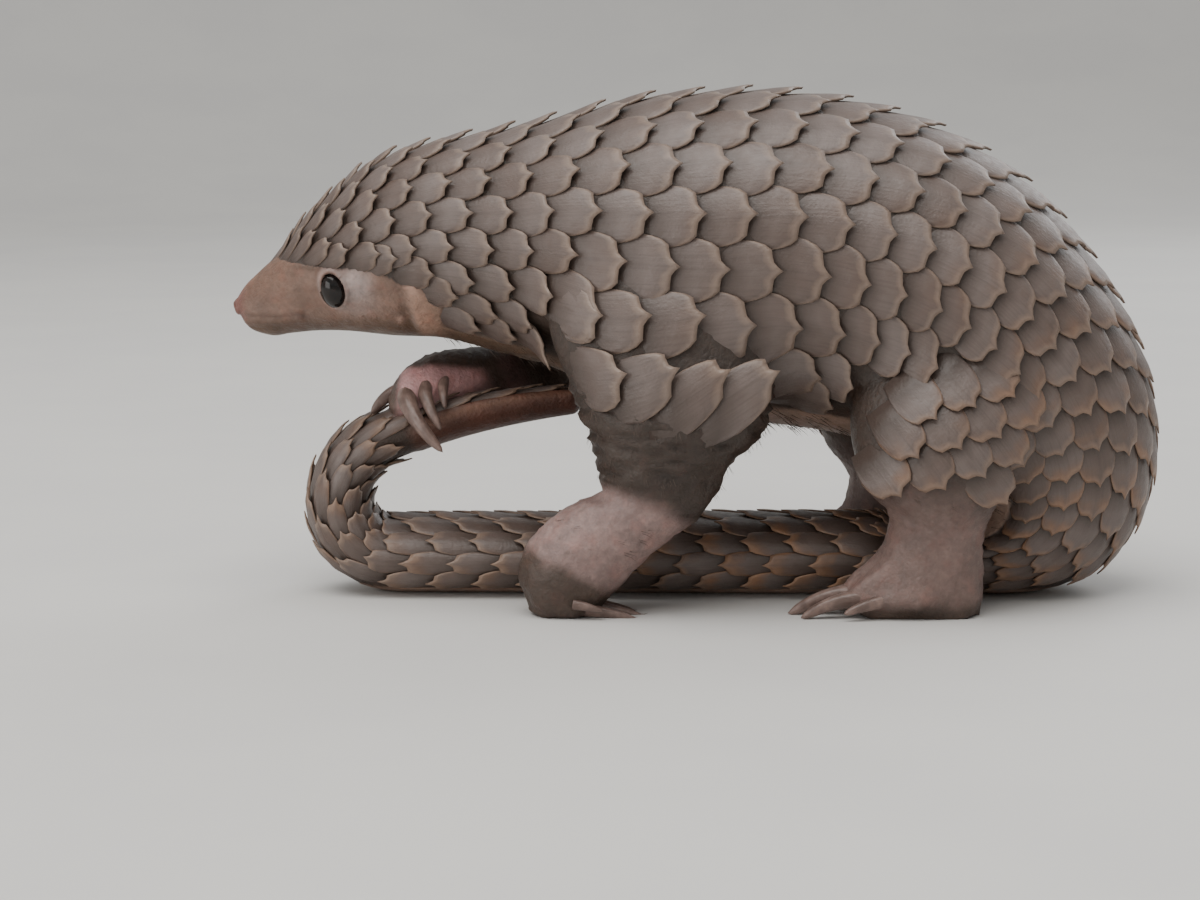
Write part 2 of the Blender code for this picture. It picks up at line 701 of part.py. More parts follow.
def closed_bead(path, radius, group, sides=5):
    """A closed ring of tube through points."""
    mesh = Mesh()
    centre = place_centre(path)
    circles = []
    for index, place in enumerate(path):
        along = (path[(index + 1) % len(path)] - path[index - 1]).normalized()
        outward = place - centre
        outward = (outward - along * outward.dot(along)).normalized()
        up = along.cross(outward)
        circle = []
        for side in range(sides):
            angle = 2 * math.pi * side / sides
            circle.append(place + (outward * math.cos(angle) + up * math.sin(angle)) * radius)
        circles.append(circle)
    for near, far in zip(circles, circles[1:] + circles[:1]):
        for side in range(sides):
            following = (side + 1) % sides
            mesh.face(near[side], near[following], far[following])
            mesh.face(near[side], far[following], far[side])
    return mesh.make("ring", group)


def head_face(head, spine, parts, cutters, eye_finish, skin):
    """Eyes in their sockets, lids, ears, the mouth with its lips, and the nostrils."""
    sleeve_end = spine.knots[HEAD_END] + EAR_SLEEVE_LENGTH
    sleeve = as_cutter(smooth_length(spine, 0.0, sleeve_end, EAR_SLEEVE_AROUND, EAR_SLEEVE_STEP,
                                     GAP).make("head_cutter", cutters))
    raised = []
    carved = []
    for side, word in ((-1, "left"), (1, "right")):
        depth = skin_y(spine, *EYE_PLACE) - EYE_DEPTH
        centre = (EYE_PLACE[0], side * depth, EYE_PLACE[1])
        eye = ellipsoid(centre, EYE_RADII, parts, (0, -EYE_LEAN, 0), 14, 9)
        eye.name = "eye_" + word
        eye.data.materials.append(eye_finish)
        socket = [radius + GAP for radius in EYE_RADII]
        carved.append(ellipsoid(centre, socket, cutters, (0, -EYE_LEAN, 0), 14, 9))
        ring = side_ring(spine, EYE_PLACE, LID_RING, EYE_LEAN, 0, 360, LID_STEPS, side)
        raised.append(closed_bead(ring[:-1], LID_RADIUS, cutters))

        cup = (EAR_PLACE[0], side * skin_y(spine, *EAR_PLACE), EAR_PLACE[1])
        carved.append(ellipsoid(cup, EAR_CUP_RADII, cutters, segments=10, rings=7))
        rim = side_ring(spine, EAR_PLACE, EAR_RIM, 0.0, -105, 100, EAR_STEPS, side, 0.35)
        sizes = [EAR_RIM_RADIUS * (EAR_RIM_END + (1 - EAR_RIM_END)
                                   * math.sin(math.pi * step / EAR_STEPS))
                 for step in range(EAR_STEPS + 1)]
        ear = bead(rim, sizes, parts, 8)
        ear.name = "ear_" + word
        ear.data.materials.append(skin)
        combine(ear, [sleeve], "DIFFERENCE")
        nostril = (NOSTRIL[0], -side * NOSTRIL[1], NOSTRIL[2])
        carved.append(ellipsoid(nostril, NOSTRIL_RADII, cutters, segments=8, rings=6))

    for radius, out, group in ((LIP_RADIUS, 0.0, raised), (MOUTH_RADIUS, LIP_RADIUS, carved)):
        path = mouth_path(spine, out)
        sizes = [radius * min(1.0, MOUTH_END + MOUTH_SWELL * min(step, len(path) - 1 - step))
                 for step in range(len(path))]
        group.append(bead(path, sizes, cutters, 6))
    combine(head, raised, "UNION", "MANIFOLD")
    combine(head, carved, "DIFFERENCE", "MANIFOLD")


class LegShadow:
    """Where a leg lies over the body in side view, so that the skin stays smooth under it."""

    STEPS = 40

    def __init__(self, course, side):
        self.side = side
        self.spots = []
        for step in range(self.STEPS + 1):
            centre, up, depth, _ = course.section(course.length * step / self.STEPS)
            self.spots.append((centre.x, centre.z, up.x * depth, up.z * depth))

    def covers(self, place):
        if place.y * self.side < 1.0:
            return False
        for x, z, half_x, half_z in self.spots:
            reach = half_x * half_x + half_z * half_z
            along = ((place.x - x) * half_x + (place.z - z) * half_z) / reach
            along = max(-1.0, min(1.0, along))
            gap_x = place.x - x - along * half_x
            gap_z = place.z - z - along * half_z
            if gap_x * gap_x + gap_z * gap_z < LEG_CLEARANCE**2:
                return True
        return False


def build():
    parts = collection("pangolin")
    cutters = collection("cutters")
    scute = material("scute", SCUTE_BROWN, 0.55)
    tail_scute = material("tail_scute", TAIL_BROWN, 0.6)
    face_skin = material("face_skin", FACE_PINK, 0.5)
    foot_skin = material("foot_skin", FOOT_MAUVE, 0.5)
    horn_finish = material("claw_horn", CLAW_HORN, 0.3)
    eye_finish = material("eye", EYE_BLACK, 0.1)

    body_sections = [(upper, lower, 0.0, half) for upper, lower, half in BODY]
    spine = Course(body_sections + tail_sections(body_sections[-1]))
    tail_start = spine.knots[len(BODY) - 1]
    tail_length = spine.length - tail_start
    spine.twist = lambda s: math.radians(TAIL_TWIST) * max(
        0.0, ((s - tail_start) / tail_length - TAIL_TWIST_START) / (1 - TAIL_TWIST_START))
    hind_left = [(front, back, -y, half) for front, back, y, half in HIND_LEG]
    hind_right = [((front[0] + HIND_RIGHT_SHIFT, front[1]), (back[0] + HIND_RIGHT_SHIFT, back[1]),
                   y, half) for front, back, y, half in HIND_LEG]
    legs = {
        "foreleg_left": (Course(FORELEG_LEFT), FORELEG_LEFT_CUT, -1, FORELEG_PLATES_END),
        "foreleg_right": (Course(FORELEG_RIGHT), FORELEG_RIGHT_CUT, 1, FORELEG_PLATES_END),
        "hind_leg_left": (Course(hind_left), HIND_LEG_CUT, -1, HIND_LEG_PLATES_END),
        "hind_leg_right": (Course(hind_right), HIND_LEG_CUT, 1, HIND_LEG_PLATES_END),
    }
    shadows = [LegShadow(course, side) for course, _, side, _ in legs.values()]
    rear_end = spine.knots[REAR_END]

    def on_head(s, turn, place):
        edge = FACE_TOP - FACE_TOP_FALL * (abs(place.y) - FACE_TOP_OUT)
        edge -= FACE_SLOPE * max(0.0, place.x - FACE_SLOPE_START)
        crown_start = CROWN_START + CROWN_CURVE * abs(place.y)
        if place.x < crown_start or place.z < max(edge, CHEEK_BOTTOM):
            return 0.0
        if math.hypot(place.x - EAR_PLACE[0], place.z - EAR_PLACE[1]) < EAR_BARE:
            return 0.0
        return min(1.0, CROWN_LIFT + (place.x - CROWN_START) / CROWN_LENGTH)

    def on_body(s, turn, place):
        angle = abs((turn + 0.5) % 1.0 - 0.5) * 360.0
        if angle > BELLY_ANGLE or any(shadow.covers(place) for shadow in shadows):
            return 0.0
        return 1.0

    def on_tail(s, turn, place):
        if place.z < FLOOR_CLEARANCE or any(shadow.covers(place) for shadow in shadows):
            return 0.0
        angle = abs((turn + 0.5) % 1.0 - 0.5) * 360.0
        if s < (rear_end + tail_start) / 2 and angle > TAIL_ROOT_BARE:
            return 0.0
        if s > tail_start + TAIL_CUTS[0] * tail_length and angle > CURL_BARE:
            return 0.0
        if s > spine.length - TAIL_PAD_LENGTH and angle > TAIL_END_BARE:
            return 0.0
        return TAIL_LIFT

    cuts = [0.0] + [spine.knots[index] for index in (HEAD_END, NECK_END, FRONT_END, REAR_END)]
    cuts += [tail_start] + [tail_start + tail_length * share for share in TAIL_CUTS]
    cuts += [spine.length]
    lengths = [
        ("head", HALF_ROW_HEAD, BODY_FILES, on_head, face_skin),
        ("neck", HALF_ROW_NECK, BODY_FILES, on_body, scute),
        ("torso_front", HALF_ROW_BODY, BODY_FILES, on_body, scute),
        ("torso_rear", HALF_ROW_BODY, BODY_FILES, on_body, scute),
        ("tail_base", HALF_ROW_BODY, BODY_FILES, on_tail, tail_scute),
        ("tail_mid", HALF_ROW_TAIL, TAIL_FILES, on_tail, tail_scute),
        ("tail_curl", HALF_ROW_TAIL, TAIL_FILES, on_tail, tail_scute),
        ("tail_end", HALF_ROW_TAIL, TAIL_FILES, on_tail, tail_scute),
    ]
    nodes = {}
    for (name, spacing, files, raised, finish), start, end in zip(lengths, cuts, cuts[1:]):
        rows = half_rows(start, end, spacing)
        is_first, is_last = name == "head", name == "tail_end"
        mesh = plated_length(spine, rows, files, raised, not is_first, not is_last,
                             TAIL_END_BULGE if is_last else 0.0)
        nodes[name] = mesh.make(name, parts, finish)

    def clear_of_plates(s, turn):
        place = spine.point(s, turn)
        raised = on_body(s, turn, place) if s < rear_end else on_tail(s, turn, place)
        return GAP + CUT_MARGIN + (PLATE_LIFT * (1 + PLATE_VARIES)) * raised

    trunk = smooth_length(spine, cuts[1] - CUTTER_REACH, tail_start + CUTTER_REACH,
                          CUTTER_SIDES, CUTTER_STEP, clear_of_plates)
    trunk_cutter = as_cutter(trunk.make("trunk_cutter", cutters))
    tail = smooth_length(spine, cuts[6], spine.length, TAIL_CUTTER_SIDES, TAIL_CUTTER_STEP,
                         clear_of_plates, end_bulge=TAIL_END_BULGE + GAP)
    tail_cutter = as_cutter(tail.make("tail_cutter", cutters))
    for name, (course, cut, side, plates_end) in legs.items():
        end = course.knots[cut]

        def on_leg(s, turn, place, course=course, side=side, plates_end=plates_end):
            faces_out = -math.sin(turn * 2 * math.pi) * side > 0
            return LEG_LIFT if s < plates_end * course.length and faces_out else 0.0

        leg = plated_length(course, half_rows(0.0, end, HALF_ROW_LEG), LEG_FILES, on_leg,
                            False, True).make(name, parts, scute)
        nodes[name] = combine(leg, [trunk_cutter], "DIFFERENCE")
        foot_name = name.replace("leg", "foot")
        foot = smooth_length(course, end, course.length, FOOT_SIDES, FOOT_STEP,
                             start_shift=GAP / 2, end_bulge=FOOT_BULGE)
        foot = foot.make(foot_name, parts, foot_skin)
        nodes[foot_name] = combine(foot, [trunk_cutter, tail_cutter], "DIFFERENCE")
        sleeve = smooth_length(course, end, course.length, FOOT_CUTTER_SIDES, FOOT_CUTTER_STEP,
                               GAP, end_bulge=FOOT_BULGE + GAP)
        sleeve = as_cutter(sleeve.make("foot_cutter", cutters))
        claws = GRIPPING_CLAWS if name == "foreleg_right" else FOREFOOT_CLAWS
        if name.startswith("hind"):
            claws = HIND_CLAWS
        for number, (root, direction, bend, length, radius) in enumerate(claws, 1):
            if name == "hind_leg_right":
                root = (root[0] + HIND_RIGHT_SHIFT, -root[1], root[2])
                direction = (direction[0], -direction[1], direction[2])
            claw_name = "claw_" + foot_name + "_" + str(number)
            claw = horn(root, direction, bend, length, radius).make(claw_name, parts, horn_finish)
            nodes[claw_name] = combine(claw, [sleeve, tail_cutter], "DIFFERENCE")

    head_face(nodes["head"], spine, parts, cutters, eye_finish, face_skin)
    remove(list(cutters.objects))
    return nodes


for item in list(bpy.data.objects):
    bpy.data.objects.remove(item)
build()
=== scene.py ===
"""The looks of a young white-bellied tree pangolin, life size, standing still.

The back is arched, the head is low, and the tail runs forward under the belly and curls up in
front, where the right forepaw holds its end. Lengths are in millimetres until a mesh is made.
The head is towards -X, the animal's left side is -Y, and the floor is z = 0.
"""
import math

import bmesh
import bpy
import numpy as np
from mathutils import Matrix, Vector, noise
from mathutils.bvhtree import BVHTree
from mathutils.kdtree import KDTree


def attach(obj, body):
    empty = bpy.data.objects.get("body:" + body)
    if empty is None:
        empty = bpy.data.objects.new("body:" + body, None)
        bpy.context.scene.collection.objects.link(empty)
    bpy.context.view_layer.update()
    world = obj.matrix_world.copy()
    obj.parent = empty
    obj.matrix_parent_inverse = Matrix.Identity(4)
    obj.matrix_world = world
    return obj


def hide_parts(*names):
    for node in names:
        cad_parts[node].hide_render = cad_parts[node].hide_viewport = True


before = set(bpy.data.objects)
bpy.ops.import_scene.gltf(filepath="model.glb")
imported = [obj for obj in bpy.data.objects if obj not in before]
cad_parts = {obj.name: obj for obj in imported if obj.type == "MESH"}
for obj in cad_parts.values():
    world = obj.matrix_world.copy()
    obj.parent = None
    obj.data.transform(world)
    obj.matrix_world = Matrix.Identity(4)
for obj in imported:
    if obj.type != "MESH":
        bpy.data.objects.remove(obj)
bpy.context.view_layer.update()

# The skin of a pangolin is thin, leathery and nearly bare, with folds where a limb bends. One
# closed skin covers head, body, tail and legs, and the scales grow out of it. It is laid over
# the sections that the solids follow, and the legs are joined to the body in one surface.
MM = 0.001
LEG_ROOT_BULGE = 0.2
FOOT_BULGE = 1.2
TAIL_END_BULGE = 1.6
NOSE_BULGE = 0.5
DOME_RINGS = 5
SKIN_UNDER_SCALES = 0.25
SKIN_AROUND = 200
FACE_STEP = 0.34
FACE_LENGTH = 37.0
FACE_FADE = 4.0
BODY_STEP = 1.45
LEG_AROUND = 72
LEG_STEP = 0.75
TOES_MIDDLE = 20.6
TOE_SPACING = 3.2
TOE_HEIGHT = 0.42
SEAM_REACH = 2.6
SEAM_PASSES = 14
SEAM_PULL = 0.6
STEEP = 0.5

# Parts of the skin's unwrap: left, bottom, width and height.
BODY_STRIP = (0.01, 0.01, 0.58, 0.98)
LEG_STRIP = (0.61, 0.01, 0.09, 0.45)
LEG_STRIP_GAP = 0.005

# Sections of head and body: upper point (x, z), lower point (x, z), half width.
BODY = [
    ((-71.2, 44.5), (-70.3, 42.6), 1.4),
    ((-69.7, 46.9), (-68.9, 40.6), 3.0),
    ((-67.4, 49.2), (-65.8, 39.5), 4.3),
    ((-64.2, 52.2), (-62.8, 39.8), 5.6),
    ((-60.9, 56.6), (-58.8, 40.2), 7.6),
    ((-56.2, 61.1), (-54.2, 40.2), 9.8),
    ((-49.2, 66.2), (-46.8, 39.5), 12.2),
    ((-40.8, 68.8), (-38.5, 39.1), 14.3),
    ((-30.8, 70.6), (-29.5, 36.9), 17.0),
    ((-21.5, 72.6), (-21.8, 34.6), 20.5),
    ((-10.8, 75.2), (-11.8, 29.5), 23.2),
    ((0.0, 76.3), (-1.1, 26.9), 24.7),
    ((10.8, 76.5), (9.7, 26.2), 25.2),
    ((22.8, 74.9), (19.2, 24.9), 25.2),
    ((36.2, 70.8), (25.8, 23.1), 25.0),
    ((48.9, 63.1), (30.3, 20.8), 24.2),
    ((58.5, 52.5), (33.5, 18.3), 22.8),
    ((65.5, 40.9), (35.7, 15.7), 20.6),
    ((69.2, 29.5), (37.1, 13.9), 18.2),
    ((69.7, 19.7), (37.8, 12.9), 16.0),
    ((67.2, 10.5), (37.4, 12.2), 14.4),
    ((60.9, 3.1), (35.6, 11.9), 13.2),
    ((51.7, 0.1), (33.0, 11.8), 12.4),
    ((40.8, -0.3), (29.6, 11.8), 11.8),
    ((26.0, -0.4), (25.4, 11.8), 11.4),
]
HEAD_END, NECK_END, FRONT_END, REAR_END = 7, 9, 13, 18

# The tail's course after the last body section: length, turn in degrees.
TAIL_COURSE = [(73.0, 0.0), (12.8, -90.0), (13.0, -72.0), (29.0, -14.0)]
TAIL_STEP = 3.0
TAIL_THICKNESS = [(0.0, 12.2), (0.56, 11.8), (0.7, 9.6), (0.78, 8.0), (0.87, 6.0), (1.0, 3.4)]
TAIL_HALF_WIDTH = [(0.0, 11.4), (0.55, 9.4), (0.76, 7.0), (0.88, 5.2), (1.0, 3.0)]
TAIL_TWIST_START = 0.76
TAIL_TWIST = math.radians(36.0)
TAIL_CUTS = (0.49, 0.71)

# Sections of the legs: front point (x, z), back point (x, z), y, half thickness.
FORELEG_LEFT = [
    ((-21.0, 58.0), (0.0, 60.5), -12.0, 7.0),
    ((-23.5, 49.5), (8.0, 51.5), -16.0, 8.2),
    ((-22.5, 41.0), (10.0, 42.3), -19.0, 8.4),
    ((-19.2, 33.3), (9.8, 34.6), -20.6, 8.2),
    ((-16.6, 26.8), (7.7, 27.0), -21.4, 7.4),
    ((-14.6, 21.6), (2.6, 21.6), -21.0, 6.2),
    ((-14.8, 18.6), (-1.4, 15.0), -20.6, 5.4),
    ((-19.2, 16.6), (-5.2, 11.4), -20.4, 5.6),
    ((-23.4, 13.4), (-9.6, 7.6), -20.2, 5.8),
    ((-26.6, 9.2), (-14.2, 2.6), -20.0, 5.6),
    ((-27.0, 4.6), (-17.4, -0.5), -20.0, 4.8),
    ((-25.6, 1.2), (-20.4, -0.6), -20.0, 3.4),
]
FORELEG_RIGHT = [
    ((-21.0, 58.0), (0.0, 60.5), 13.0, 7.0),
    ((-25.0, 48.5), (5.0, 45.0), 17.0, 8.2),
    ((-26.0, 41.5), (-3.0, 34.5), 18.5, 7.6),
    ((-26.4, 38.0), (-15.4, 26.2), 17.4, 6.6),
    ((-29.0, 37.0), (-23.4, 26.8), 14.0, 5.8),
    ((-32.8, 36.6), (-30.0, 27.4), 9.6, 5.8),
    ((-37.6, 36.6), (-36.0, 27.6), 5.4, 6.2),
    ((-42.0, 36.0), (-40.6, 27.4), 2.2, 6.8),
    ((-45.6, 33.8), (-43.8, 26.6), 0.0, 6.6),
    ((-47.4, 31.0), (-46.0, 26.6), -0.8, 4.6),
]
HIND_LEG = [
    ((27.0, 43.0), (49.0, 40.0), 12.5, 8.0),
    ((22.5, 35.0), (48.6, 32.5), 17.2, 8.8),
    ((21.5, 26.6), (45.6, 24.0), 20.2, 8.6),
    ((23.6, 19.6), (42.8, 17.0), 21.2, 7.0),
    ((27.4, 14.4), (40.8, 11.6), 20.8, 5.8),
    ((26.4, 10.4), (41.0, 5.6), 20.6, 5.6),
    ((24.4, 7.8), (40.0, -0.5), 20.6, 5.6),
    ((22.0, 5.6), (33.0, -0.6), 20.6, 5.6),
    ((20.4, 3.6), (25.4, -0.5), 20.6, 4.6),
]
HIND_RIGHT_SHIFT = -2.3

# Shares of a leg's length over which its colours change, and the edges of its worn, dark parts.
ARM_BARE = (0.30, 0.42)
LEFT_PAW_BARE = (0.625, 0.665)
RIGHT_PAW_BARE = (0.56, 0.66)
HIND_FOOT_BARE = (0.42, 0.62)
ANKLE_DARK = (0.5, 0.68)
SOLE_HEIGHT = (0.8, 3.2)
WORN_HEIGHT = (9.4, 12.6)
WORN_FRONT, WORN_SLOPE, WORN_WAVER = -27.7, 0.49, 1.6
SPOT_FINENESS = 0.4
FRECKLE_FINENESS = 0.95
FRECKLE_EDGE = (0.5, 0.64)
FRECKLE_SHARE = 0.4

# Where scales grow: everywhere but on the face, the belly, the tail's pad and what lies on the
# floor. Angles are from the upper line, in degrees.
BELLY_ANGLE = 148.0
CROWN_START = -64.6
CROWN_CURVE = 0.1
CROWN_LIFT = 0.45
CROWN_LENGTH = 20.0
FACE_TOP = 50.6
FACE_TOP_OUT = 9.0
FACE_TOP_FALL = 0.14
FACE_SLOPE_START = -48.5
FACE_SLOPE = 0.62
CHEEK_BOTTOM = 41.5
EAR_BARE = 3.4
FLOOR_CLEARANCE = 1.2
TAIL_ROOT_BARE = 120.0
TAIL_END_BARE = 75.0
TAIL_PAD_LENGTH = 26.0
TAIL_LIFT = 0.66

# The face, on its left side; the right side is its mirror image.
EYE_PLACE = (-55.3, 47.3)
EYE_RADII = (2.3, 2.6, 3.1)
EYE_DEPTH = 1.7
EYE_LEAN = 0.25
EYE_OPENING = (1.52, 2.28)
LID_LEAN = 0.36
NOSTRIL = (-71.0, 0.85, 43.9)
MOUTH_BACK = -60.2
MOUTH_HEIGHT = 42.6
EAR_PLACE = (-43.6, 44.6)
EYE_HOLE_DEPTH = 2.6
LID_HEIGHT = 0.5
LID_CREASE = 0.1
BROW_HEIGHT = 0.45
BROW_LINE = 51.6
MOUTH_GROOVE = 0.1
UPPER_LIP = 0.14
LOWER_LIP = 0.2
MOUTH_CORNER = 0.35
NOSTRIL_DEPTH = 0.75
NOSTRIL_RIM = 0.2
CHEEK_HEIGHT = 0.3
EAR_GROOVE = 0.35
EAR_FLAP = 0.7
EAR_LEAN = (-43.5, 44.0, 0.25)

# Folds of the skin: how fine they are round a limb and along it, how sharp, and how high they
# stand on the chest and on each limb, coarse and fine.
COARSE_FOLDS = (0.22, 0.85)
FINE_FOLDS = (0.5, 1.9)
FINE_FOLDS_SHIFT = 7.0
FOLD_SHARPNESS = 2.4
CHEST_FOLDS_BEGIN = (34.0, 43.0)
CHEST_FOLDS_END = (52.0, 70.0)
CHEST_FOLDS = (0.3, 0.1)
HIND_FOOT_FOLDS = (0.34, 0.13)
LEFT_ARM_FOLDS = (0.85, 0.2)
RIGHT_ARM_FOLDS = (0.24, 0.1)
CUFF_HEIGHT = 0.5

# Colours of the bare skin
FACE_BROWN = (0.178, 0.108, 0.080)
SNOUT_TAN = (0.158, 0.088, 0.060)
NOSE_RED = (0.170, 0.075, 0.060)
# Painted shade on the underside of the jaw.
CHIN_SHADE = (0.080, 0.042, 0.022)
# A painted highlight on the cheek in front of the ear.
CHEEK_HIGHLIGHT = (0.36, 0.245, 0.195)
EYE_PATCH = (0.37, 0.295, 0.275)
# Dark brown of the lid rims, also used for painted shade along the mouth.
LID_BROWN = (0.085, 0.056, 0.048)
EAR_PINK = (0.44, 0.27, 0.20)
BROW_BROWN = (0.105, 0.064, 0.045)
# Painted shade: the dark colour of skin under the scales, as it looks in the shade between them.
SHADED_SKIN = (0.040, 0.026, 0.019)
BELLY_TAN = (0.255, 0.170, 0.130)
CHEST_BROWN = (0.100, 0.062, 0.040)
FOREARM_BROWN = (0.038, 0.024, 0.017)
PAW_MAUVE = (0.225, 0.152, 0.138)
PAW_PAD = (0.055, 0.034, 0.024)
PALM_PINK = (0.500, 0.285, 0.280)
HAND_BACK = (0.080, 0.052, 0.040)
HIND_FOOT = (0.150, 0.098, 0.084)
TAIL_PAD_RED = (0.085, 0.034, 0.022)
TAIL_EDGE_BROWN = (0.150, 0.072, 0.046)
CURL_INSIDE = (0.050, 0.032, 0.022)
SKIN_FLUSH = (1.25, 0.85, 0.78)

# Over which lengths the skin changes colour, from the ends of head, neck and scaled tail, and
# where the pad under the tail's end is edged with brown, in degrees.
CHEST_BLEND = (-6.0, 2.0)
BELLY_BLEND = (12.0, 30.0)
TAIL_PAD_BLEND = (-3.0, 4.0)
TAIL_PAD_EDGE = 94.0
TAIL_PAD_EDGE_WIDTH = 16.0

# How far light goes into the skin, in metres, and the size and depth of its cells and creases.
SKIN_GLOW = 0.12
SKIN_GLOW_REACH = (0.0016, 0.0007, 0.0005)
SKIN_CELL = 0.75
SKIN_CELL_DEPTH = 0.035
SKIN_CREASE_DEPTH = 0.10


def smooth_rows(knots, rows, at):
    """Rows of numbers on a smooth curve through the given rows, at the given knot values."""
    rows = np.array(rows, float)
    slopes = np.zeros_like(rows)
    steps = np.diff(knots)[:, None]
    chords = np.diff(rows, axis=0) / steps
    slopes[0] = chords[0]
    slopes[-1] = chords[-1]
    before, after = steps[:-1], steps[1:]
    slopes[1:-1] = (chords[:-1] * after + chords[1:] * before) / (before + after)
    index = np.clip(np.searchsorted(knots, at) - 1, 0, len(knots) - 2)
    width = (knots[index + 1] - knots[index])[:, None]
    t = (at[:, None] - knots[index][:, None]) / width
    start, end = rows[index], rows[index + 1]
    out_start, out_end = slopes[index] * width, slopes[index + 1] * width
    return (start * (2 * t**3 - 3 * t**2 + 1) + out_start * (t**3 - 2 * t**2 + t)
            + end * (3 * t**2 - 2 * t**3) + out_end * (t**3 - t**2))


class Course:
    """Elliptical sections on a smooth course, measured along their upper points."""

    SAMPLES = 12
    UPPER_WEIGHT = 0.7
    MIDDLE_WEIGHT = 0.15

    def __init__(self, sections):
        self.twist_start = None
        rows = np.array([(*upper, *lower, y, half) for upper, lower, y, half in sections])
        steps = np.linalg.norm(np.diff(rows[:, :2], axis=0), axis=1) * self.UPPER_WEIGHT
        middle = rows[:, :2] + rows[:, 2:4]
        steps = steps + np.linalg.norm(np.diff(middle, axis=0), axis=1) * self.MIDDLE_WEIGHT
        self.knots = np.concatenate([[0.0], np.cumsum(steps)])
        self.length = self.knots[-1]
        self.at = np.linspace(0.0, self.length, (len(rows) - 1) * self.SAMPLES + 1)
        self.rows = smooth_rows(self.knots, rows, self.at)

    def sections(self, s):
        """Centres, unit vectors to the upper points, half depths and half widths."""
        row = [np.interp(s, self.at, column) for column in self.rows.T]
        nothing = np.zeros_like(row[4])
        centre = np.stack([(row[0] + row[2]) / 2, row[4], (row[1] + row[3]) / 2], -1)
        reach = np.stack([(row[0] - row[2]) / 2, nothing, (row[1] - row[3]) / 2], -1)
        depth = np.linalg.norm(reach, axis=-1)
        return centre, reach / depth[..., None], depth, row[5]

    def places(self, s, turn, lift=0.0):
        """Points round the sections: turn is 0 on the upper line and 0.25 on the left side."""
        s, turn = np.broadcast_arrays(np.asarray(s, float), np.asarray(turn, float))
        centre, up, depth, width = self.sections(s)
        angle = turn * 2 * np.pi
        normal = np.stack([np.cos(angle) / depth, np.sin(angle) / width], -1)
        normal = normal / np.linalg.norm(normal, axis=-1)[..., None]
        rise = depth * np.cos(angle) + lift * normal[..., 0]
        side = width * np.sin(angle) + lift * normal[..., 1]
        if self.twist_start is not None:
            twist = np.clip((s - self.twist_start) / (self.length - self.twist_start), 0, 1)
            twist = twist * TAIL_TWIST
            rise, side = (rise * np.cos(twist) + side * np.sin(twist),
                          side * np.cos(twist) - rise * np.sin(twist))
        place = centre + up * rise[..., None]
        place[..., 1] -= side
        return set_on_floor(place, up)


def set_on_floor(place, up):
    """Press points that are below the floor flat, in the planes of their sections."""
    low = place[..., 2] < 0
    steep = low & (np.abs(up[..., 2]) > STEEP)
    slide = np.where(steep, place[..., 2] / np.where(steep, up[..., 2], 1.0), 0.0)
    place = place - up * slide[..., None]
    place[..., 2] = np.where(low, 0.0, place[..., 2])
    return place


def tail_sections(start):
    """Sections of the tail from its course, thickness and width."""
    (upper_x, upper_z), (lower_x, lower_z), _, _ = start
    x, z = (upper_x + lower_x) / 2, (upper_z + lower_z) / 2
    heading = 180.0
    total = sum(length for length, _ in TAIL_COURSE)
    done = 0.0
    sections = []
    for length, turn in TAIL_COURSE:
        steps = max(2, round(length / TAIL_STEP))
        for _ in range(steps):
            angle = math.radians(heading + turn / steps / 2)
            x += math.cos(angle) * length / steps
            z += math.sin(angle) * length / steps
            heading += turn / steps
            done += length / steps
            half = np.interp(done / total, *zip(*TAIL_THICKNESS)) / 2
            width = np.interp(done / total, *zip(*TAIL_HALF_WIDTH))
            out = math.radians(heading + 90.0)
            out_x, out_z = math.cos(out) * half, math.sin(out) * half
            sections.append(((x + out_x, z + out_z), (x - out_x, z - out_z), 0.0, width))
    return sections


body_sections = [(upper, lower, 0.0, half) for upper, lower, half in BODY]
spine = Course(body_sections + tail_sections(body_sections[-1]))
tail_start = spine.knots[len(BODY) - 1]
tail_length = spine.length - tail_start
rear_end = spine.knots[REAR_END]
spine.twist_start = tail_start + TAIL_TWIST_START * tail_length


def hind_sections(side, shift):
    return [((front[0] + shift, front[1]), (back[0] + shift, back[1]), side * y, half)
            for front, back, y, half in HIND_LEG]


legs = {
    "foreleg_left": Course(FORELEG_LEFT),
    "foreleg_right": Course(FORELEG_RIGHT),
    "hind_leg_left": Course(hind_sections(-1, 0.0)),
    "hind_leg_right": Course(hind_sections(1, HIND_RIGHT_SHIFT)),
}
leg_sides = {name: 1 if name.endswith("right") else -1 for name in legs}


def scale_lift(s, turn):
    """Share of the full lift that a scale has there, nought where the skin is bare."""
    s, turn = np.broadcast_arrays(np.asarray(s, float), np.asarray(turn, float))
    place = spine.places(s, turn)
    x, z, out = place[..., 0], place[..., 2], np.abs(place[..., 1])
    angle = np.abs((turn + 0.5) % 1.0 - 0.5) * 360.0

    edge = FACE_TOP - FACE_TOP_FALL * (out - FACE_TOP_OUT)
    edge = edge - FACE_SLOPE * np.maximum(0.0, x - FACE_SLOPE_START)
    bare = (x < CROWN_START + CROWN_CURVE * out) | (z < np.maximum(edge, CHEEK_BOTTOM))
    bare |= np.hypot(x - EAR_PLACE[0], z - EAR_PLACE[1]) < EAR_BARE
    head = np.where(bare, 0.0, np.minimum(1.0, CROWN_LIFT + (x - CROWN_START) / CROWN_LENGTH))

    body = np.where(angle > BELLY_ANGLE, 0.0, 1.0)

    bare = z < FLOOR_CLEARANCE
    bare |= (s < (rear_end + tail_start) / 2) & (angle > TAIL_ROOT_BARE)
    bare |= (s > spine.length - TAIL_PAD_LENGTH) & (angle > TAIL_END_BARE)
    tail = np.where(bare, 0.0, TAIL_LIFT)
    return np.where(s < spine.knots[HEAD_END], head, np.where(s < rear_end, body, tail))


def bump(distance, reach):
    """A soft round hump: 1 in the middle, and nearly nought at twice the reach."""
    return np.exp(-(distance / reach) ** 2)


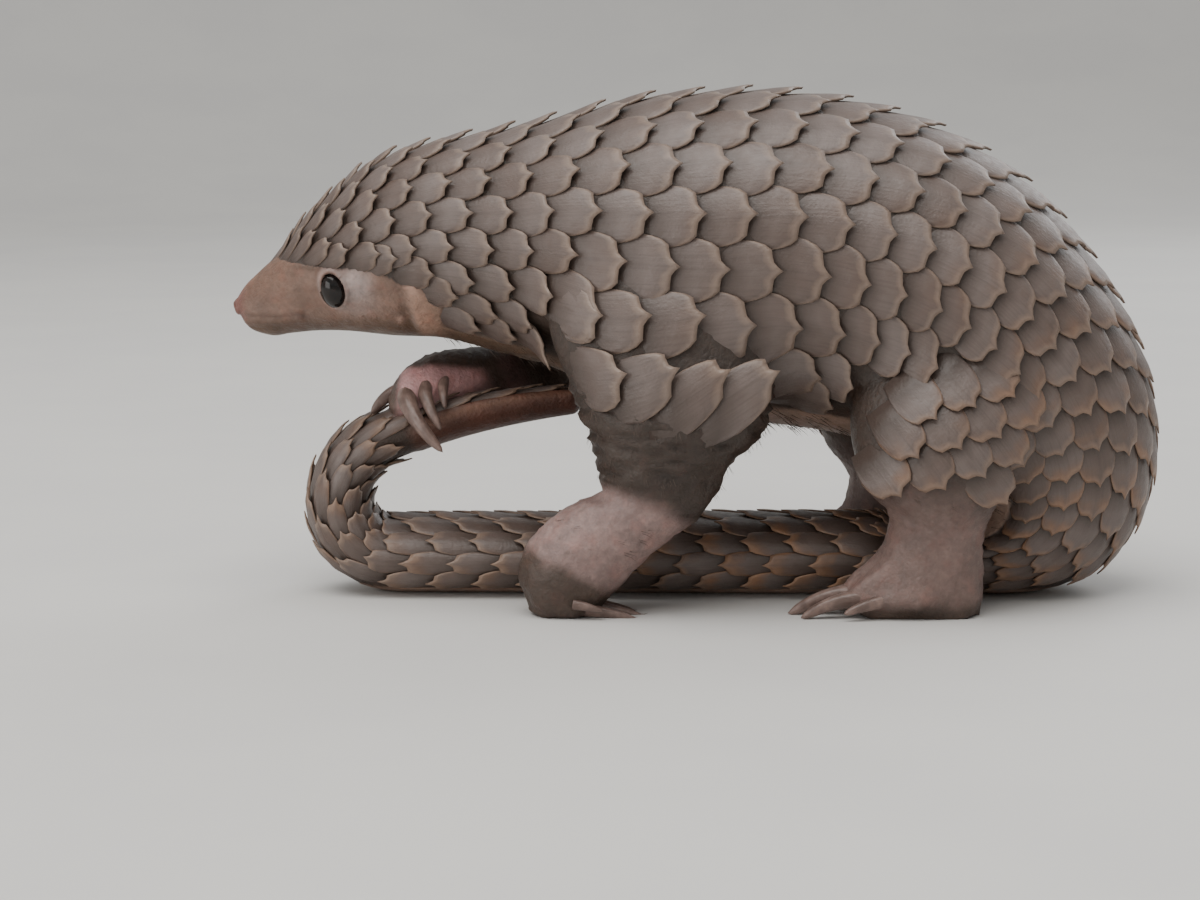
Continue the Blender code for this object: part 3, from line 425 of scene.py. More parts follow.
def ramp(value, start, end):
    """From 0 at start to 1 at end, smooth at both."""
    share = np.clip((value - start) / (end - start), 0, 1)
    return share * share * (3 - 2 * share)


def eye_oval(x, z):
    """Distance from the middle of the eye, as a share of the oval between its lids."""
    across, rise = x - EYE_PLACE[0], z - EYE_PLACE[1]
    lean_across = across * math.cos(LID_LEAN) + rise * math.sin(LID_LEAN)
    lean_rise = rise * math.cos(LID_LEAN) - across * math.sin(LID_LEAN)
    return np.hypot(lean_across / EYE_OPENING[0], lean_rise / EYE_OPENING[1])


def behind_ear(x, z):
    """How far a place is behind the leaning front edge of the ear."""
    front, height, lean = EAR_LEAN
    return x - front + lean * (z - height)


def face_relief(place):
    """How far the face stands out from its smooth course: lids, lips, nostrils, ear, folds."""
    x, z, out = place[..., 0], place[..., 2], np.abs(place[..., 1])
    oval = eye_oval(x, z)
    relief = -EYE_HOLE_DEPTH * (1 - ramp(oval, 0.86, 1.06))
    relief = relief + LID_HEIGHT * bump(oval - 1.2, 0.16) - LID_CREASE * bump(oval - 1.55, 0.14)
    brow = BROW_HEIGHT * bump(z - BROW_LINE - 0.05 * (x + 54), 1.1)
    brow = brow * ramp(x, -63, -58) * (1 - ramp(x, -50, -46))
    relief = relief + brow * (oval > 1.2)

    mouth = MOUTH_HEIGHT + 0.45 * ramp(x, MOUTH_BACK - 5, MOUTH_BACK)
    along_mouth = 1 - ramp(x, MOUTH_BACK - 1.2, MOUTH_BACK + 0.6)
    relief = relief - MOUTH_GROOVE * bump(z - mouth, 0.2) * along_mouth
    relief = relief + UPPER_LIP * bump(z - mouth - 0.7, 0.45) * along_mouth
    relief = relief + LOWER_LIP * bump(z - mouth + 0.8, 0.5) * along_mouth
    corner = np.hypot(x - MOUTH_BACK - 0.4, z - mouth)
    relief = relief - MOUTH_CORNER * bump(corner, 0.7)

    nostril = np.sqrt((x - NOSTRIL[0])**2 + (out - NOSTRIL[1])**2 + (z - NOSTRIL[2])**2)
    relief = relief - NOSTRIL_DEPTH * bump(nostril, 0.42)
    relief = relief + NOSTRIL_RIM * bump(nostril - 0.95, 0.35)

    relief = relief + CHEEK_HEIGHT * bump(np.hypot(x + 46.4, (z - 43.8) / 1.4), 1.8)
    fold = behind_ear(x, z)
    tall = ramp(z, 40.6, 42.8) * (1 - ramp(z, 46.6, 49.0))
    relief = relief - EAR_GROOVE * bump(fold + 1.1, 0.6) * tall
    return relief + EAR_FLAP * ramp(fold, -0.9, 0.8) * (1 - ramp(fold, 1.5, 7.0)) * tall


def wrinkles(s, place, coarse, fine):
    """Folds across a limb: long round it and narrow along it."""
    heights = np.zeros(s.shape)
    for index in np.ndindex(s.shape):
        for height, (around, along), shift in ((coarse, COARSE_FOLDS, 0.0),
                                               (fine, FINE_FOLDS, FINE_FOLDS_SHIFT)):
            x, y, _ = place[index]
            spot = Vector((x * around, y * around + shift, s[index] * along))
            heights[index] += height[index] * (1 - abs(noise.noise(spot)) * FOLD_SHARPNESS)
    return heights


def spots_at(place, fineness):
    """Smooth noise from about -1 to 1 at each place, with smaller spots the finer it is."""
    values = [noise.noise(Vector(spot) * fineness) for spot in place.reshape(-1, 3)]
    return np.array(values).reshape(place.shape[:-1])


def blend(base, colour, share):
    """Colours moved towards one colour, each by its own share."""
    return base + (np.array(colour) - base) * share[..., None]


def body_colour(s, turn, place, lift):
    """Colours of the skin of head, body and tail."""
    x, z = place[..., 0], place[..., 2]
    colour = np.zeros(place.shape) + np.array(FACE_BROWN)
    oval = eye_oval(x, z)
    colour = blend(colour, SNOUT_TAN, (1 - ramp(x, -66, -58)) * ramp(z, 43, 47))
    # Painted shade: the lower part of the head, under the jaw, is darkened.
    colour = blend(colour, CHIN_SHADE, 1 - ramp(z, 40.6, 43.6 + 0.1 * (x + 60)))
    colour = blend(colour, NOSE_RED, 1 - ramp(x, -70.6, -68.8))
    colour = blend(colour, BROW_BROWN, ramp(z, 49.7, 50.4) * ramp(x, -62.5, -59))
    patch = np.hypot((x - EYE_PLACE[0] - 3.2) / 2.6, (z - EYE_PLACE[1] - 1.0) / 2.3)
    colour = blend(colour, EYE_PATCH, 0.9 * (1 - ramp(patch, 0.2, 1.6)))
    below = np.hypot((x - EYE_PLACE[0] - 3.4) / 3.4, (z - EYE_PLACE[1] + 2.0) / 2.6)
    colour = blend(colour, EYE_PATCH, 0.35 * (1 - ramp(below, 0.3, 1.4)))
    colour = blend(colour, EYE_PATCH, 0.5 * bump(oval - 1.38, 0.16))
    colour = blend(colour, LID_BROWN, 1 - ramp(oval, 1.0, 1.2))
    # Painted highlight: a small pale spot on the cheek in front of the ear.
    colour = blend(colour, CHEEK_HIGHLIGHT, 0.9 * bump(np.hypot(x + 45.4, z - 42.8), 0.7))
    ear = ramp(behind_ear(x, z), -0.9, 1.3) * ramp(z, 38.8, 41.4)
    colour = blend(colour, EAR_PINK, ear)
    # Painted shade in the mouth: a dark line along its groove and a dark streak at its corner.
    mouth_shade = bump(z - MOUTH_HEIGHT - 0.2, 0.22) * (1 - ramp(x, MOUTH_BACK, MOUTH_BACK + 1.5))
    colour = blend(colour, LID_BROWN, 0.14 * mouth_shade)
    streak = bump(z - MOUTH_HEIGHT - 0.1 + 0.33 * (x - MOUTH_BACK), 0.32)
    streak = streak * bump(x - MOUTH_BACK + 0.2, 1.6)
    colour = blend(colour, LID_BROWN, 0.55 * streak)

    colour = blend(colour, CHEST_BROWN, ramp(s - spine.knots[HEAD_END], *CHEST_BLEND))
    colour = blend(colour, BELLY_TAN, ramp(s - spine.knots[NECK_END], *BELLY_BLEND))
    on_curl = ramp(s, tail_start + TAIL_CUTS[0] * tail_length, spine.length - TAIL_PAD_LENGTH)
    colour = blend(colour, CURL_INSIDE, on_curl)
    on_pad = ramp(s - spine.length + TAIL_PAD_LENGTH, *TAIL_PAD_BLEND)
    colour = blend(colour, TAIL_PAD_RED, on_pad)
    angle = np.abs((turn + 0.5) % 1.0 - 0.5) * 360.0
    at_edge = bump(angle - TAIL_PAD_EDGE, TAIL_PAD_EDGE_WIDTH)
    colour = blend(colour, TAIL_EDGE_BROWN, on_pad * at_edge)
    # Painted shade: skin under the scales is darkened where it shows between them.
    return blend(colour, SHADED_SKIN, np.minimum(1.0, lift * 2.0))


def toe_relief(y, far):
    """Bulges of the three great toes across a foot, growing towards its end."""
    across = np.abs(np.abs(y) - TOES_MIDDLE)
    return TOE_HEIGHT * far * np.cos(2 * np.pi * across / TOE_SPACING)


def leg_look(name, course, s, turn, place):
    """Colours and relief of the skin of a leg and its foot."""
    share = s / course.length
    x, y, z = place[..., 0], place[..., 1], place[..., 2]
    # The leg's skin starts in the painted shade colour of skin under the scales.
    colour = np.zeros(place.shape) + np.array(SHADED_SKIN)
    if name.startswith("hind"):
        foot = ramp(share, *HIND_FOOT_BARE)
        sole = 1 - ramp(z + spots_at(place, SPOT_FINENESS), *SOLE_HEIGHT)
        colour = blend(colour, HIND_FOOT, foot)
        colour = blend(colour, PAW_PAD, sole * foot)
        # The ankle, next to the scales, is mixed half-way to the dark colour of skin under the
        # scales.
        colour = blend(colour, SHADED_SKIN, 0.5 * foot * (1 - ramp(share, *ANKLE_DARK)))
        coarse, fine = HIND_FOOT_FOLDS
        relief = wrinkles(s, place, coarse * foot * (1 - ramp(share, 0.7, 0.85)), fine * foot)
        relief = relief + toe_relief(y, ramp(share, 0.72, 0.92) * (z > 0))
    elif name == "foreleg_left":
        arm = ramp(share, *ARM_BARE)
        cuff = share + 0.02 * np.sin(turn * 2 * np.pi + 1.0)
        foot = ramp(cuff, *LEFT_PAW_BARE)
        colour = blend(colour, FOREARM_BROWN, arm)
        colour = blend(colour, PAW_MAUVE, foot)
        coarse, fine = LEFT_ARM_FOLDS
        relief = wrinkles(s, place, coarse * arm * (1 - 0.8 * foot), fine * arm)
        relief = relief + CUFF_HEIGHT * arm * bump(cuff - 0.6, 0.035)
        # Painted shade: the hollows of the arm's folds are darkened towards the colour of skin
        # under the scales.
        colour = blend(colour, SHADED_SKIN, arm * (1 - foot) * ramp(-relief, -0.2, 0.5))
        height = z + WORN_SLOPE * (x - WORN_FRONT) + WORN_WAVER * spots_at(place, SPOT_FINENESS)
        colour = blend(colour, PAW_PAD, (1 - ramp(height, *WORN_HEIGHT)) * foot)
        freckles = ramp(spots_at(place, FRECKLE_FINENESS), *FRECKLE_EDGE)
        colour = blend(colour, PAW_PAD, FRECKLE_SHARE * foot * freckles)
        relief = relief + 0.5 * toe_relief(y, ramp(share, 0.84, 0.96) * (z > 0))
    else:
        arm = ramp(share, *ARM_BARE)
        hand = ramp(share, *RIGHT_PAW_BARE)
        colour = blend(colour, FOREARM_BROWN, arm)
        colour = blend(colour, PALM_PINK, hand)
        back = ramp(z + 0.35 * (y + 2.0) - 0.1 * (x + 40.0), 34.2, 35.6)
        back = np.maximum(back, 1 - ramp(x, -46.6, -45.0))
        back = np.maximum(back, ramp(y, 1.0, 4.0))
        colour = blend(colour, HAND_BACK, hand * back)
        coarse, fine = RIGHT_ARM_FOLDS
        relief = wrinkles(s, place, coarse * arm, fine * arm)
    return colour, relief


def skin_rings(rings, colours, tails, strip):
    """Points, faces, corner places on the unwrap and point colours of a closed row of rings.

    Tails are the end points beyond the first and the last ring, and strip is the part of the
    unwrap that the rings fill: left, bottom, width and height.
    """
    count, around = rings.shape[:2]
    points = np.concatenate([rings.reshape(-1, 3), tails])
    tones = np.concatenate([colours.reshape(-1, 3), colours[[0, -1]].mean(1)])
    left, bottom, width, height = strip
    steps = np.linalg.norm(np.diff(rings, axis=0), axis=2).mean(1)
    along = np.concatenate([[0.0], np.cumsum(steps)])
    along = bottom + height * (0.02 + 0.96 * along / along[-1])

    def corner(row, line):
        return left + width * line / around, along[row]

    faces = []
    unwrap = []
    for row in range(count - 1):
        for line in range(around):
            after = (line + 1) % around
            faces.append((row * around + line, row * around + after,
                          (row + 1) * around + after, (row + 1) * around + line))
            unwrap += [corner(row, line), corner(row, line + 1),
                       corner(row + 1, line + 1), corner(row + 1, line)]
    first, last = len(points) - 2, len(points) - 1
    base = (count - 1) * around
    for line in range(around):
        after = (line + 1) % around
        middle = left + width * (line + 0.5) / around
        faces.append((after, line, first))
        unwrap += [corner(0, line + 1), corner(0, line), (middle, bottom)]
        faces.append((base + line, base + after, last))
        unwrap += [corner(count - 1, line), corner(count - 1, line + 1),
                   (middle, bottom + height)]
    return points, faces, unwrap, tones


def make_mesh(name, points, faces, unwrap=None, tones=None):
    """An object from points in millimetres, with its unwrap and its colours."""
    data = bpy.data.meshes.new(name)
    data.from_pydata((np.asarray(points) * MM).tolist(), [], faces)
    if unwrap is not None:
        layer = data.uv_layers.new(name="OFBake")
        layer.data.foreach_set("uv", np.array(unwrap, float).ravel())
    if tones is not None:
        tone = data.attributes.new("tone", "FLOAT_COLOR", "POINT")
        full = np.concatenate([tones, np.ones((len(tones), 1))], 1)
        tone.data.foreach_set("color", full.ravel())
    piece = bpy.data.objects.new(name, data)
    bpy.context.scene.collection.objects.link(piece)
    return piece


def turn_outward(piece):
    """Make the faces of a closed mesh point outwards."""
    whole = bmesh.new()
    whole.from_mesh(piece.data)
    bmesh.ops.recalc_face_normals(whole, faces=whole.faces)
    if whole.calc_volume(signed=True) < 0:
        bmesh.ops.reverse_faces(whole, faces=whole.faces)
    whole.to_mesh(piece.data)
    whole.free()


def with_round_ends(rings, start_bulge, end_bulge):
    """Add rings that close both ends as low domes; gives all rings and the two end points."""
    ends = []
    for ring, inner, bulge in ((rings[0], rings[1], start_bulge),
                               (rings[-1], rings[-2], end_bulge)):
        centre = ring.mean(0)
        out = centre - inner.mean(0)
        out = out / np.linalg.norm(out)
        dome = []
        for step in range(1, DOME_RINGS + 1):
            angle = step / (DOME_RINGS + 1) * math.pi / 2
            layer = centre + (ring - centre) * math.cos(angle) + out * bulge * math.sin(angle)
            layer[:, 2] = np.maximum(layer[:, 2], 0.0)
            dome.append(layer)
        tip = centre + out * bulge
        tip[2] = max(tip[2], 0.0)
        ends.append((dome, tip))
    (start_dome, start_tip), (end_dome, end_tip) = ends
    return np.stack(start_dome[::-1] + list(rings) + end_dome), np.stack([start_tip, end_tip])


def spread_ends(colours):
    """Repeat the first and last ring of colours over the rings of the domes."""
    return np.concatenate([colours[:1]] * DOME_RINGS + [colours] + [colours[-1:]] * DOME_RINGS)


def body_skin():
    """The skin of head, body and tail, with closer rings and relief on the face."""
    face_rows = round(FACE_LENGTH / FACE_STEP)
    body_rows = round((spine.length - FACE_LENGTH) / BODY_STEP)
    distances = np.concatenate([np.linspace(0, FACE_LENGTH, face_rows, endpoint=False),
                                np.linspace(FACE_LENGTH, spine.length, body_rows + 1)])
    s = distances[:, None] + np.zeros(SKIN_AROUND)
    turn = np.arange(SKIN_AROUND)[None, :] / SKIN_AROUND + np.zeros(s.shape)
    place = spine.places(s, turn)
    scaled = scale_lift(s, turn)
    on_face = 1 - ramp(s, FACE_LENGTH - FACE_FADE, FACE_LENGTH)
    relief = face_relief(place) * on_face * (scaled == 0)
    chest = ramp(s, *CHEST_FOLDS_BEGIN) * (1 - ramp(s, *CHEST_FOLDS_END)) * (scaled == 0)
    coarse, fine = CHEST_FOLDS
    folds = wrinkles(s, place, coarse * chest, fine * chest)
    lift = relief + folds - SKIN_UNDER_SCALES * (scaled > 0)
    rings = spine.places(s, turn, lift)
    colours = spread_ends(body_colour(s, turn, place, scaled))
    rings, tips = with_round_ends(rings, NOSE_BULGE, TAIL_END_BULGE)
    return make_mesh("skin", *skin_rings(rings, colours, tips, BODY_STRIP))


def leg_skin(name, course, strip):
    """The skin of one leg and its foot."""
    rows = round(course.length / LEG_STEP)
    s = np.linspace(0, course.length, rows + 1)[:, None] + np.zeros(LEG_AROUND)
    turn = np.arange(LEG_AROUND)[None, :] / LEG_AROUND + np.zeros(s.shape)
    place = course.places(s, turn)
    colours, relief = leg_look(name, course, s, turn, place)
    rings = course.places(s, turn, relief)
    rings, tips = with_round_ends(rings, LEG_ROOT_BULGE, FOOT_BULGE)
    return make_mesh(name, *skin_rings(rings, spread_ends(colours), tips, strip))


def tones_of(piece):
    """The colours of a skin's points, four numbers each."""
    tones = np.zeros(len(piece.data.vertices) * 4)
    piece.data.attributes["tone"].data.foreach_get("color", tones)
    return tones.reshape(-1, 4)


def join_skins(trunk, limbs, trees):
    """One surface from the body and the legs, with soft folds where they meet."""
    tones = np.concatenate([tones_of(piece) for piece in [trunk] + limbs])
    nearest = KDTree(len(tones))
    corners = [vertex.co for piece in [trunk] + limbs for vertex in piece.data.vertices]
    for index, corner in enumerate(corners):
        nearest.insert(corner, index)
    nearest.balance()
    for piece in limbs:
        union = trunk.modifiers.new("union", "BOOLEAN")
        union.operation = "UNION"
        union.solver = "MANIFOLD"
        union.object = piece
    bpy.context.view_layer.update()
    evaluated = trunk.evaluated_get(bpy.context.evaluated_depsgraph_get())
    data = bpy.data.meshes.new_from_object(evaluated)
    data.materials.clear()
    data.polygons.foreach_set("material_index", [0] * len(data.polygons))
    trunk.modifiers.clear()
    trunk.data = data
    for piece in limbs:
        bpy.data.objects.remove(piece)
    tones = np.array([tones[nearest.find(vertex.co)[1]] for vertex in data.vertices])
    soften_seams(data, trees, tones)


def soften_seams(data, trees, tones):
    """Smooth skin and colour within a few millimetres of where two joined surfaces cross."""
    count = len(data.vertices)
    points = np.zeros(count * 3)
    data.vertices.foreach_get("co", points)
    points = points.reshape(-1, 3)
    reach = SEAM_REACH * MM
    share = np.zeros(count)
    for index, place in enumerate(points):
        near = [tree.find_nearest(place, reach)[3] for tree in trees]
        distances = sorted(distance for distance in near if distance is not None)
        if len(distances) > 1:
            share[index] = 1 - distances[1] / reach
    edges = np.zeros(len(data.edges) * 2, int)
    data.edges.foreach_get("vertices", edges)
    first, second = edges.reshape(-1, 2).T
    links = np.bincount(first, minlength=count) + np.bincount(second, minlength=count)
    for _ in range(SEAM_PASSES):
        for values in (points, tones):
            total = np.zeros_like(values)
            np.add.at(total, first, values[second])
            np.add.at(total, second, values[first])
            values += (total / links[:, None] - values) * (SEAM_PULL * share)[:, None]
    data.vertices.foreach_set("co", points.ravel())
    data.attributes["tone"].data.foreach_set("color", tones.ravel())
    data.update()


def node(tree, kind, **settings):
    """A new shader or geometry node with some of its settings."""
    item = tree.nodes.new(kind)
    for key, value in settings.items():
        setattr(item, key, value)
    return item


def new_finish(name):
    """A new material, its tree, and the node that shades it."""
    finish = bpy.data.materials.new(name)
    finish.use_nodes = True
    return finish, finish.node_tree, finish.node_tree.nodes["Principled BSDF"]


def shader_noise(tree, vector, size, detail=4.0, roughness=0.55):
    """A noise whose features are about size millimetres across."""
    item = node(tree, "ShaderNodeTexNoise")
    item.inputs["Scale"].default_value = 1.0 / (size * MM)
    item.inputs["Detail"].default_value = detail
    item.inputs["Roughness"].default_value = roughness
    tree.links.new(vector, item.inputs["Vector"])
    return item.outputs["Fac"]


def spread(tree, value, low, high, to_low=0.0, to_high=1.0):
    """A value moved from one range to another, held at its ends."""
    item = node(tree, "ShaderNodeMapRange")
    item.inputs["From Min"].default_value = low
    item.inputs["From Max"].default_value = high
    item.inputs["To Min"].default_value = to_low
    item.inputs["To Max"].default_value = to_high
    tree.links.new(value, item.inputs["Value"])
    return item.outputs["Result"]


def maths(tree, operation, first, second=None):
    """The result of one sum, each value a socket or a number."""
    item = node(tree, "ShaderNodeMath", operation=operation)
    for index, value in enumerate((first, second)):
        if value is None:
            continue
        if isinstance(value, (int, float)):
            item.inputs[index].default_value = value
        else:
            tree.links.new(value, item.inputs[index])
    return item.outputs[0]


def tinted(tree, share, first, second, blend_type="MIX"):
    """A mix of two colours, each a socket or an rgb value, by a share."""
    item = node(tree, "ShaderNodeMix", data_type="RGBA", blend_type=blend_type)
    for place, value in ((0, share), (6, first), (7, second)):
        socket = item.inputs[place]
        if isinstance(value, (int, float)):
            socket.default_value = value
        elif isinstance(value, tuple):
            socket.default_value = (*value, 1.0)
        else:
            tree.links.new(value, socket)
    return item.outputs[2]


def attribute(tree, name, output="Fac"):
    """A number or colour that the mesh itself carries."""
    item = node(tree, "ShaderNodeAttribute", attribute_name=name)
    return item.outputs[output]


def relief_of(tree, height, depth, after=None):
    """A bump whose height input of 1 stands for a depth in millimetres."""
    item = node(tree, "ShaderNodeBump")
    item.inputs["Distance"].default_value = depth * MM
    tree.links.new(height, item.inputs["Height"])
    if after is not None:
        tree.links.new(after, item.inputs["Normal"])
    return item.outputs["Normal"]


def skin_finish():
    """Soft, mottled leather in the skin's own colours, with fine cells and creases."""
    finish, tree, shader = new_finish("bare_skin")
    where = node(tree, "ShaderNodeTexCoord").outputs["Object"]
    tone = attribute(tree, "tone", "Color")
    mottle = spread(tree, shader_noise(tree, where, 5.0), 0.35, 0.65, 0.82, 1.16)
    grain = spread(tree, shader_noise(tree, where, 0.9), 0.3, 0.7, 0.84, 1.14)
    shade = maths(tree, "MULTIPLY", mottle, grain)
    bright = node(tree, "ShaderNodeVectorMath", operation="SCALE")
    tree.links.new(tone, bright.inputs[0])
    tree.links.new(shade, bright.inputs["Scale"])
    flush = spread(tree, shader_noise(tree, where, 2.6, 2.0), 0.5, 0.72, 0.0, 0.3)
    rosy = tinted(tree, 1.0, bright.outputs[0], SKIN_FLUSH, "MULTIPLY")
    colour = tinted(tree, flush, bright.outputs[0], rosy)
    tree.links.new(colour, shader.inputs["Base Color"])
    gloss = spread(tree, shader_noise(tree, where, 1.6), 0.3, 0.7, 0.42, 0.62)
    tree.links.new(gloss, shader.inputs["Roughness"])
    shader.inputs["Subsurface Weight"].default_value = SKIN_GLOW
    shader.inputs["Subsurface Radius"].default_value = SKIN_GLOW_REACH
    shader.inputs["Subsurface Scale"].default_value = 1.0

    cells = node(tree, "ShaderNodeTexVoronoi", feature="DISTANCE_TO_EDGE")
    cells.inputs["Scale"].default_value = 1.0 / (SKIN_CELL * MM)
    tree.links.new(where, cells.inputs["Vector"])
    pebble = spread(tree, cells.outputs["Distance"], 0.0, 0.35)
    leather = relief_of(tree, pebble, SKIN_CELL_DEPTH)
    creases = spread(tree, shader_noise(tree, where, 1.3, 6.0, 0.6), 0.3, 0.7)
    normal = relief_of(tree, creases, SKIN_CREASE_DEPTH, leather)
    tree.links.new(normal, shader.inputs["Normal"])
    return finish


skin = body_skin()
limbs = []
for number, (name, course) in enumerate(legs.items()):
    left, bottom, width, height = LEG_STRIP
    strip = (left + number * (width + LEG_STRIP_GAP), bottom, width, height)
    limbs.append(leg_skin(name, course, strip))
surfaces = {}
for name, piece in zip(["body", *legs], [skin] + limbs):
    turn_outward(piece)
    surfaces[name] = BVHTree.FromObject(piece, bpy.context.evaluated_depsgraph_get())
join_skins(skin, limbs, list(surfaces.values()))
surfaces["skin"] = BVHTree.FromObject(skin, bpy.context.evaluated_depsgraph_get())
skin.data.shade_smooth()
skin.data.materials.append(skin_finish())
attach(skin, "root")
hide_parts("head", "neck", "torso_front", "torso_rear", "tail_base", "tail_mid",
            "tail_curl", "tail_end", "ear_left", "ear_right", *legs,
            *[name.replace("leg", "foot") for name in legs])

# The eyes are small, dark and domed, set deep behind thick lids that keep ants out. Each is a
# smooth ball, a little taller than wide, and only its middle shows between the lids.
EYE_SEGMENTS = 40
EYE_RINGS = 28
HALVINGS = 24
EYE_BROWN = (0.018, 0.011, 0.009)
PUPIL_BLACK = (0.004, 0.004, 0.004)


def face_half_width(x, z):
    """How far the head's skin lies from the middle plane at a length and height."""
    near, far = 0.0, float(spine.knots[NECK_END])
    for _ in range(HALVINGS):
        middle = (near + far) / 2
        centre, up, _, _ = spine.sections(np.array(middle))
        ahead = np.array([-up[2], 0.0, up[0]])
        onward = spine.sections(np.array(middle + FACE_STEP))[0] - centre
        if onward[0] * ahead[0] <= 0:
            ahead = -ahead
        if (np.array([x, 0.0, z]) - centre) @ ahead > 0:
            near = middle
        else:
            far = middle
    centre, up, depth, width = spine.sections(np.array(near))
    rise = (np.array([x, 0.0, z]) - centre) @ up / depth
    return float(width * math.sqrt(max(0.02, 1 - rise * rise)))


def eye_ball(side, word):
    """A ball on one side of the head, leaning with the lids."""
    whole = bmesh.new()
    bmesh.ops.create_uvsphere(whole, u_segments=EYE_SEGMENTS, v_segments=EYE_RINGS, radius=1.0)
    depth = face_half_width(*EYE_PLACE) - EYE_DEPTH
    lean_cos, lean_sin = math.cos(EYE_LEAN), math.sin(EYE_LEAN)
    for vertex in whole.verts:
        x, y, z = (vertex.co.x * EYE_RADII[0], vertex.co.y * EYE_RADII[1],
                   vertex.co.z * EYE_RADII[2])
        place = Vector((EYE_PLACE[0] + x * lean_cos - z * lean_sin, side * depth + y,
                        EYE_PLACE[1] + x * lean_sin + z * lean_cos))
        vertex.co = place * MM
    for face in whole.faces:
        face.smooth = True
    data = bpy.data.meshes.new("eye_ball_" + word)
    whole.to_mesh(data)
    whole.free()
    piece = bpy.data.objects.new("eye_ball_" + word, data)
    bpy.context.scene.collection.objects.link(piece)
    return piece


def eye_finish():
    """A wet, nearly black eye with a breath of brown."""
    finish, tree, shader = new_finish("wet_eye")
    where = node(tree, "ShaderNodeTexCoord").outputs["Object"]
    streak = spread(tree, shader_noise(tree, where, 0.8), 0.35, 0.7)
    colour = tinted(tree, streak, PUPIL_BLACK, EYE_BROWN)
    tree.links.new(colour, shader.inputs["Base Color"])
    shader.inputs["Roughness"].default_value = 0.1
    shader.inputs["Specular IOR Level"].default_value = 0.35
    return finish


wet_eye = eye_finish()
for side, word in ((-1, "left"), (1, "right")):
    eye = eye_ball(side, word)
    eye.data.materials.append(wet_eye)
    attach(eye, "root")
    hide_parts("eye_" + word)

# The scales are plates of horn, thin, overlapping like roof tiles and pointing to the rear. Each
# grows from the skin at its front edge, and its free rear edge has a point in the middle and a
# low corner at each side. One flat plate is repeated in rows and then laid on the curved body.
BODY_FILES = 20
TAIL_FILES = 12
HALF_ROW_HEAD = 2.65
HALF_ROW_NECK = 3.0
HALF_ROW_BODY = 3.6
HALF_ROW_TAIL = 3.4
SCALE_HALF_WIDTH = 0.605
SCALE_LENGTH = 3.2
SCALE_ROOT_DEPTH = 0.55
SCALE_TIP_HEIGHT = 1.12
SCALE_THICKNESS = 0.32
SCALE_SIDE_DROOP = 0.46
LEAST_LIFT = 0.5

# How the scales vary: least share and range of width, length and lift, then their turn and slip.
SCALE_SEED = 21
WIDTH_VARIES = (0.97, 0.1)
LENGTH_VARIES = (0.97, 0.08)
LIFT_VARIES = (0.94, 0.14)
SCALE_YAW = math.radians(3.0)
SCALE_SLIP = 0.5
RUST_IN_FRONT = 0.1
TAIL_RUST_LOSS = 0.6
TAIL_RUST_FADE = (20.0, 60.0)

# The lie is the surface that the scales are laid on: the body's own course opened flat, with the
# rows of its grid along the body and its lines round it, past both edges by a margin.
LIE_STEP = 1.0
LIE_AROUND = 160
LIE_MARGIN = 0.15
LIE_LEAD = 14.0
LIE_GIRTH = 150.0

# At the edge of the bare skin a scale moves up by the first of these shares that clears it.
BORDER_SHIFTS = (0.0, 0.15, 0.3, 0.45, 0.6, 0.75)
BORDER_SIDE = 0.48
ROOT_ROWS = 1.6

# Where a leg stands out of the body, in millimetres over the lie, and how the lie rises to it.
LIMB_SPLIT = 105.0
LIMB_INSIDE = 0.8
LIMB_LEAST = 0.3
LIMB_REACH = 18
LIMB_FALL = 0.2
LIMB_CLEAR = 0.5
LIMB_START = 2.5
THIGH_START = 1.5
PAST_PEAK = 0.5
FILLET_MOST = 3.5
FILLET_PASSES = 16
SLOPE_PASSES = 8
FRINGE = 0.3
STEEPEST = 7.0

# How far back from its tip a scale is tested against a leg, in half rows.
TIP_BACK = 0.3
ARM_TIP_BACK = 2.0
COVERED_BACK = 2.0
FRINGE_BACK = 2.4
THIGH_BACKS = (0.5, 1.1)

# Across the plate: share of its half width, and how far back the rear edge comes there.
REAR_EDGE = [(-1.0, 0.50), (-0.93, 0.66), (-0.82, 0.78), (-0.66, 0.862), (-0.5, 0.868),
             (-0.27, 0.885), (-0.12, 0.935), (0.0, 1.0), (0.12, 0.935), (0.27, 0.885),
             (0.5, 0.868), (0.66, 0.862), (0.82, 0.78), (0.93, 0.66), (1.0, 0.50)]
# Along the plate: its half width.
SIDE_EDGE = [(0.0, 0.74), (0.25, 0.94), (0.5, 1.0), (0.72, 0.99), (1.0, 0.97)]
PLATE_ROWS = (0.0, 0.36, 0.68, 0.93, 1.0)
RIM_ROUND = 0.13
UNDER_WIDTH = 0.97
UNDER_SETBACK = 0.012
FREE_PART = -0.3
# Bands of the plate's unwrap cell, from bottom to top, and its margin at the sides.
CELL_BANDS = {"under": (0.02, 0.30), "rim": (0.315, 0.345), "top": (0.36, 0.98)}
CELL_MIDDLE, CELL_HALF = 0.5, 0.46
CELL_MARGIN, CELL_WIDTH = 0.02, 0.96

SCALE_BROWN = (0.098, 0.068, 0.056)
# A dark horn colour, for the lines along the scales and for painted shade at each scale's root.
SCALE_STREAK_AND_SHADE = (0.050, 0.034, 0.027)
SCALE_GREY = (0.138, 0.108, 0.097)
SCALE_RIM = (0.255, 0.188, 0.145)
SCALE_RUST = (0.250, 0.118, 0.052)
STRIAE_STRETCH = (9.0, 0.9, 1.0)
STRIAE_SCALE = 1.6


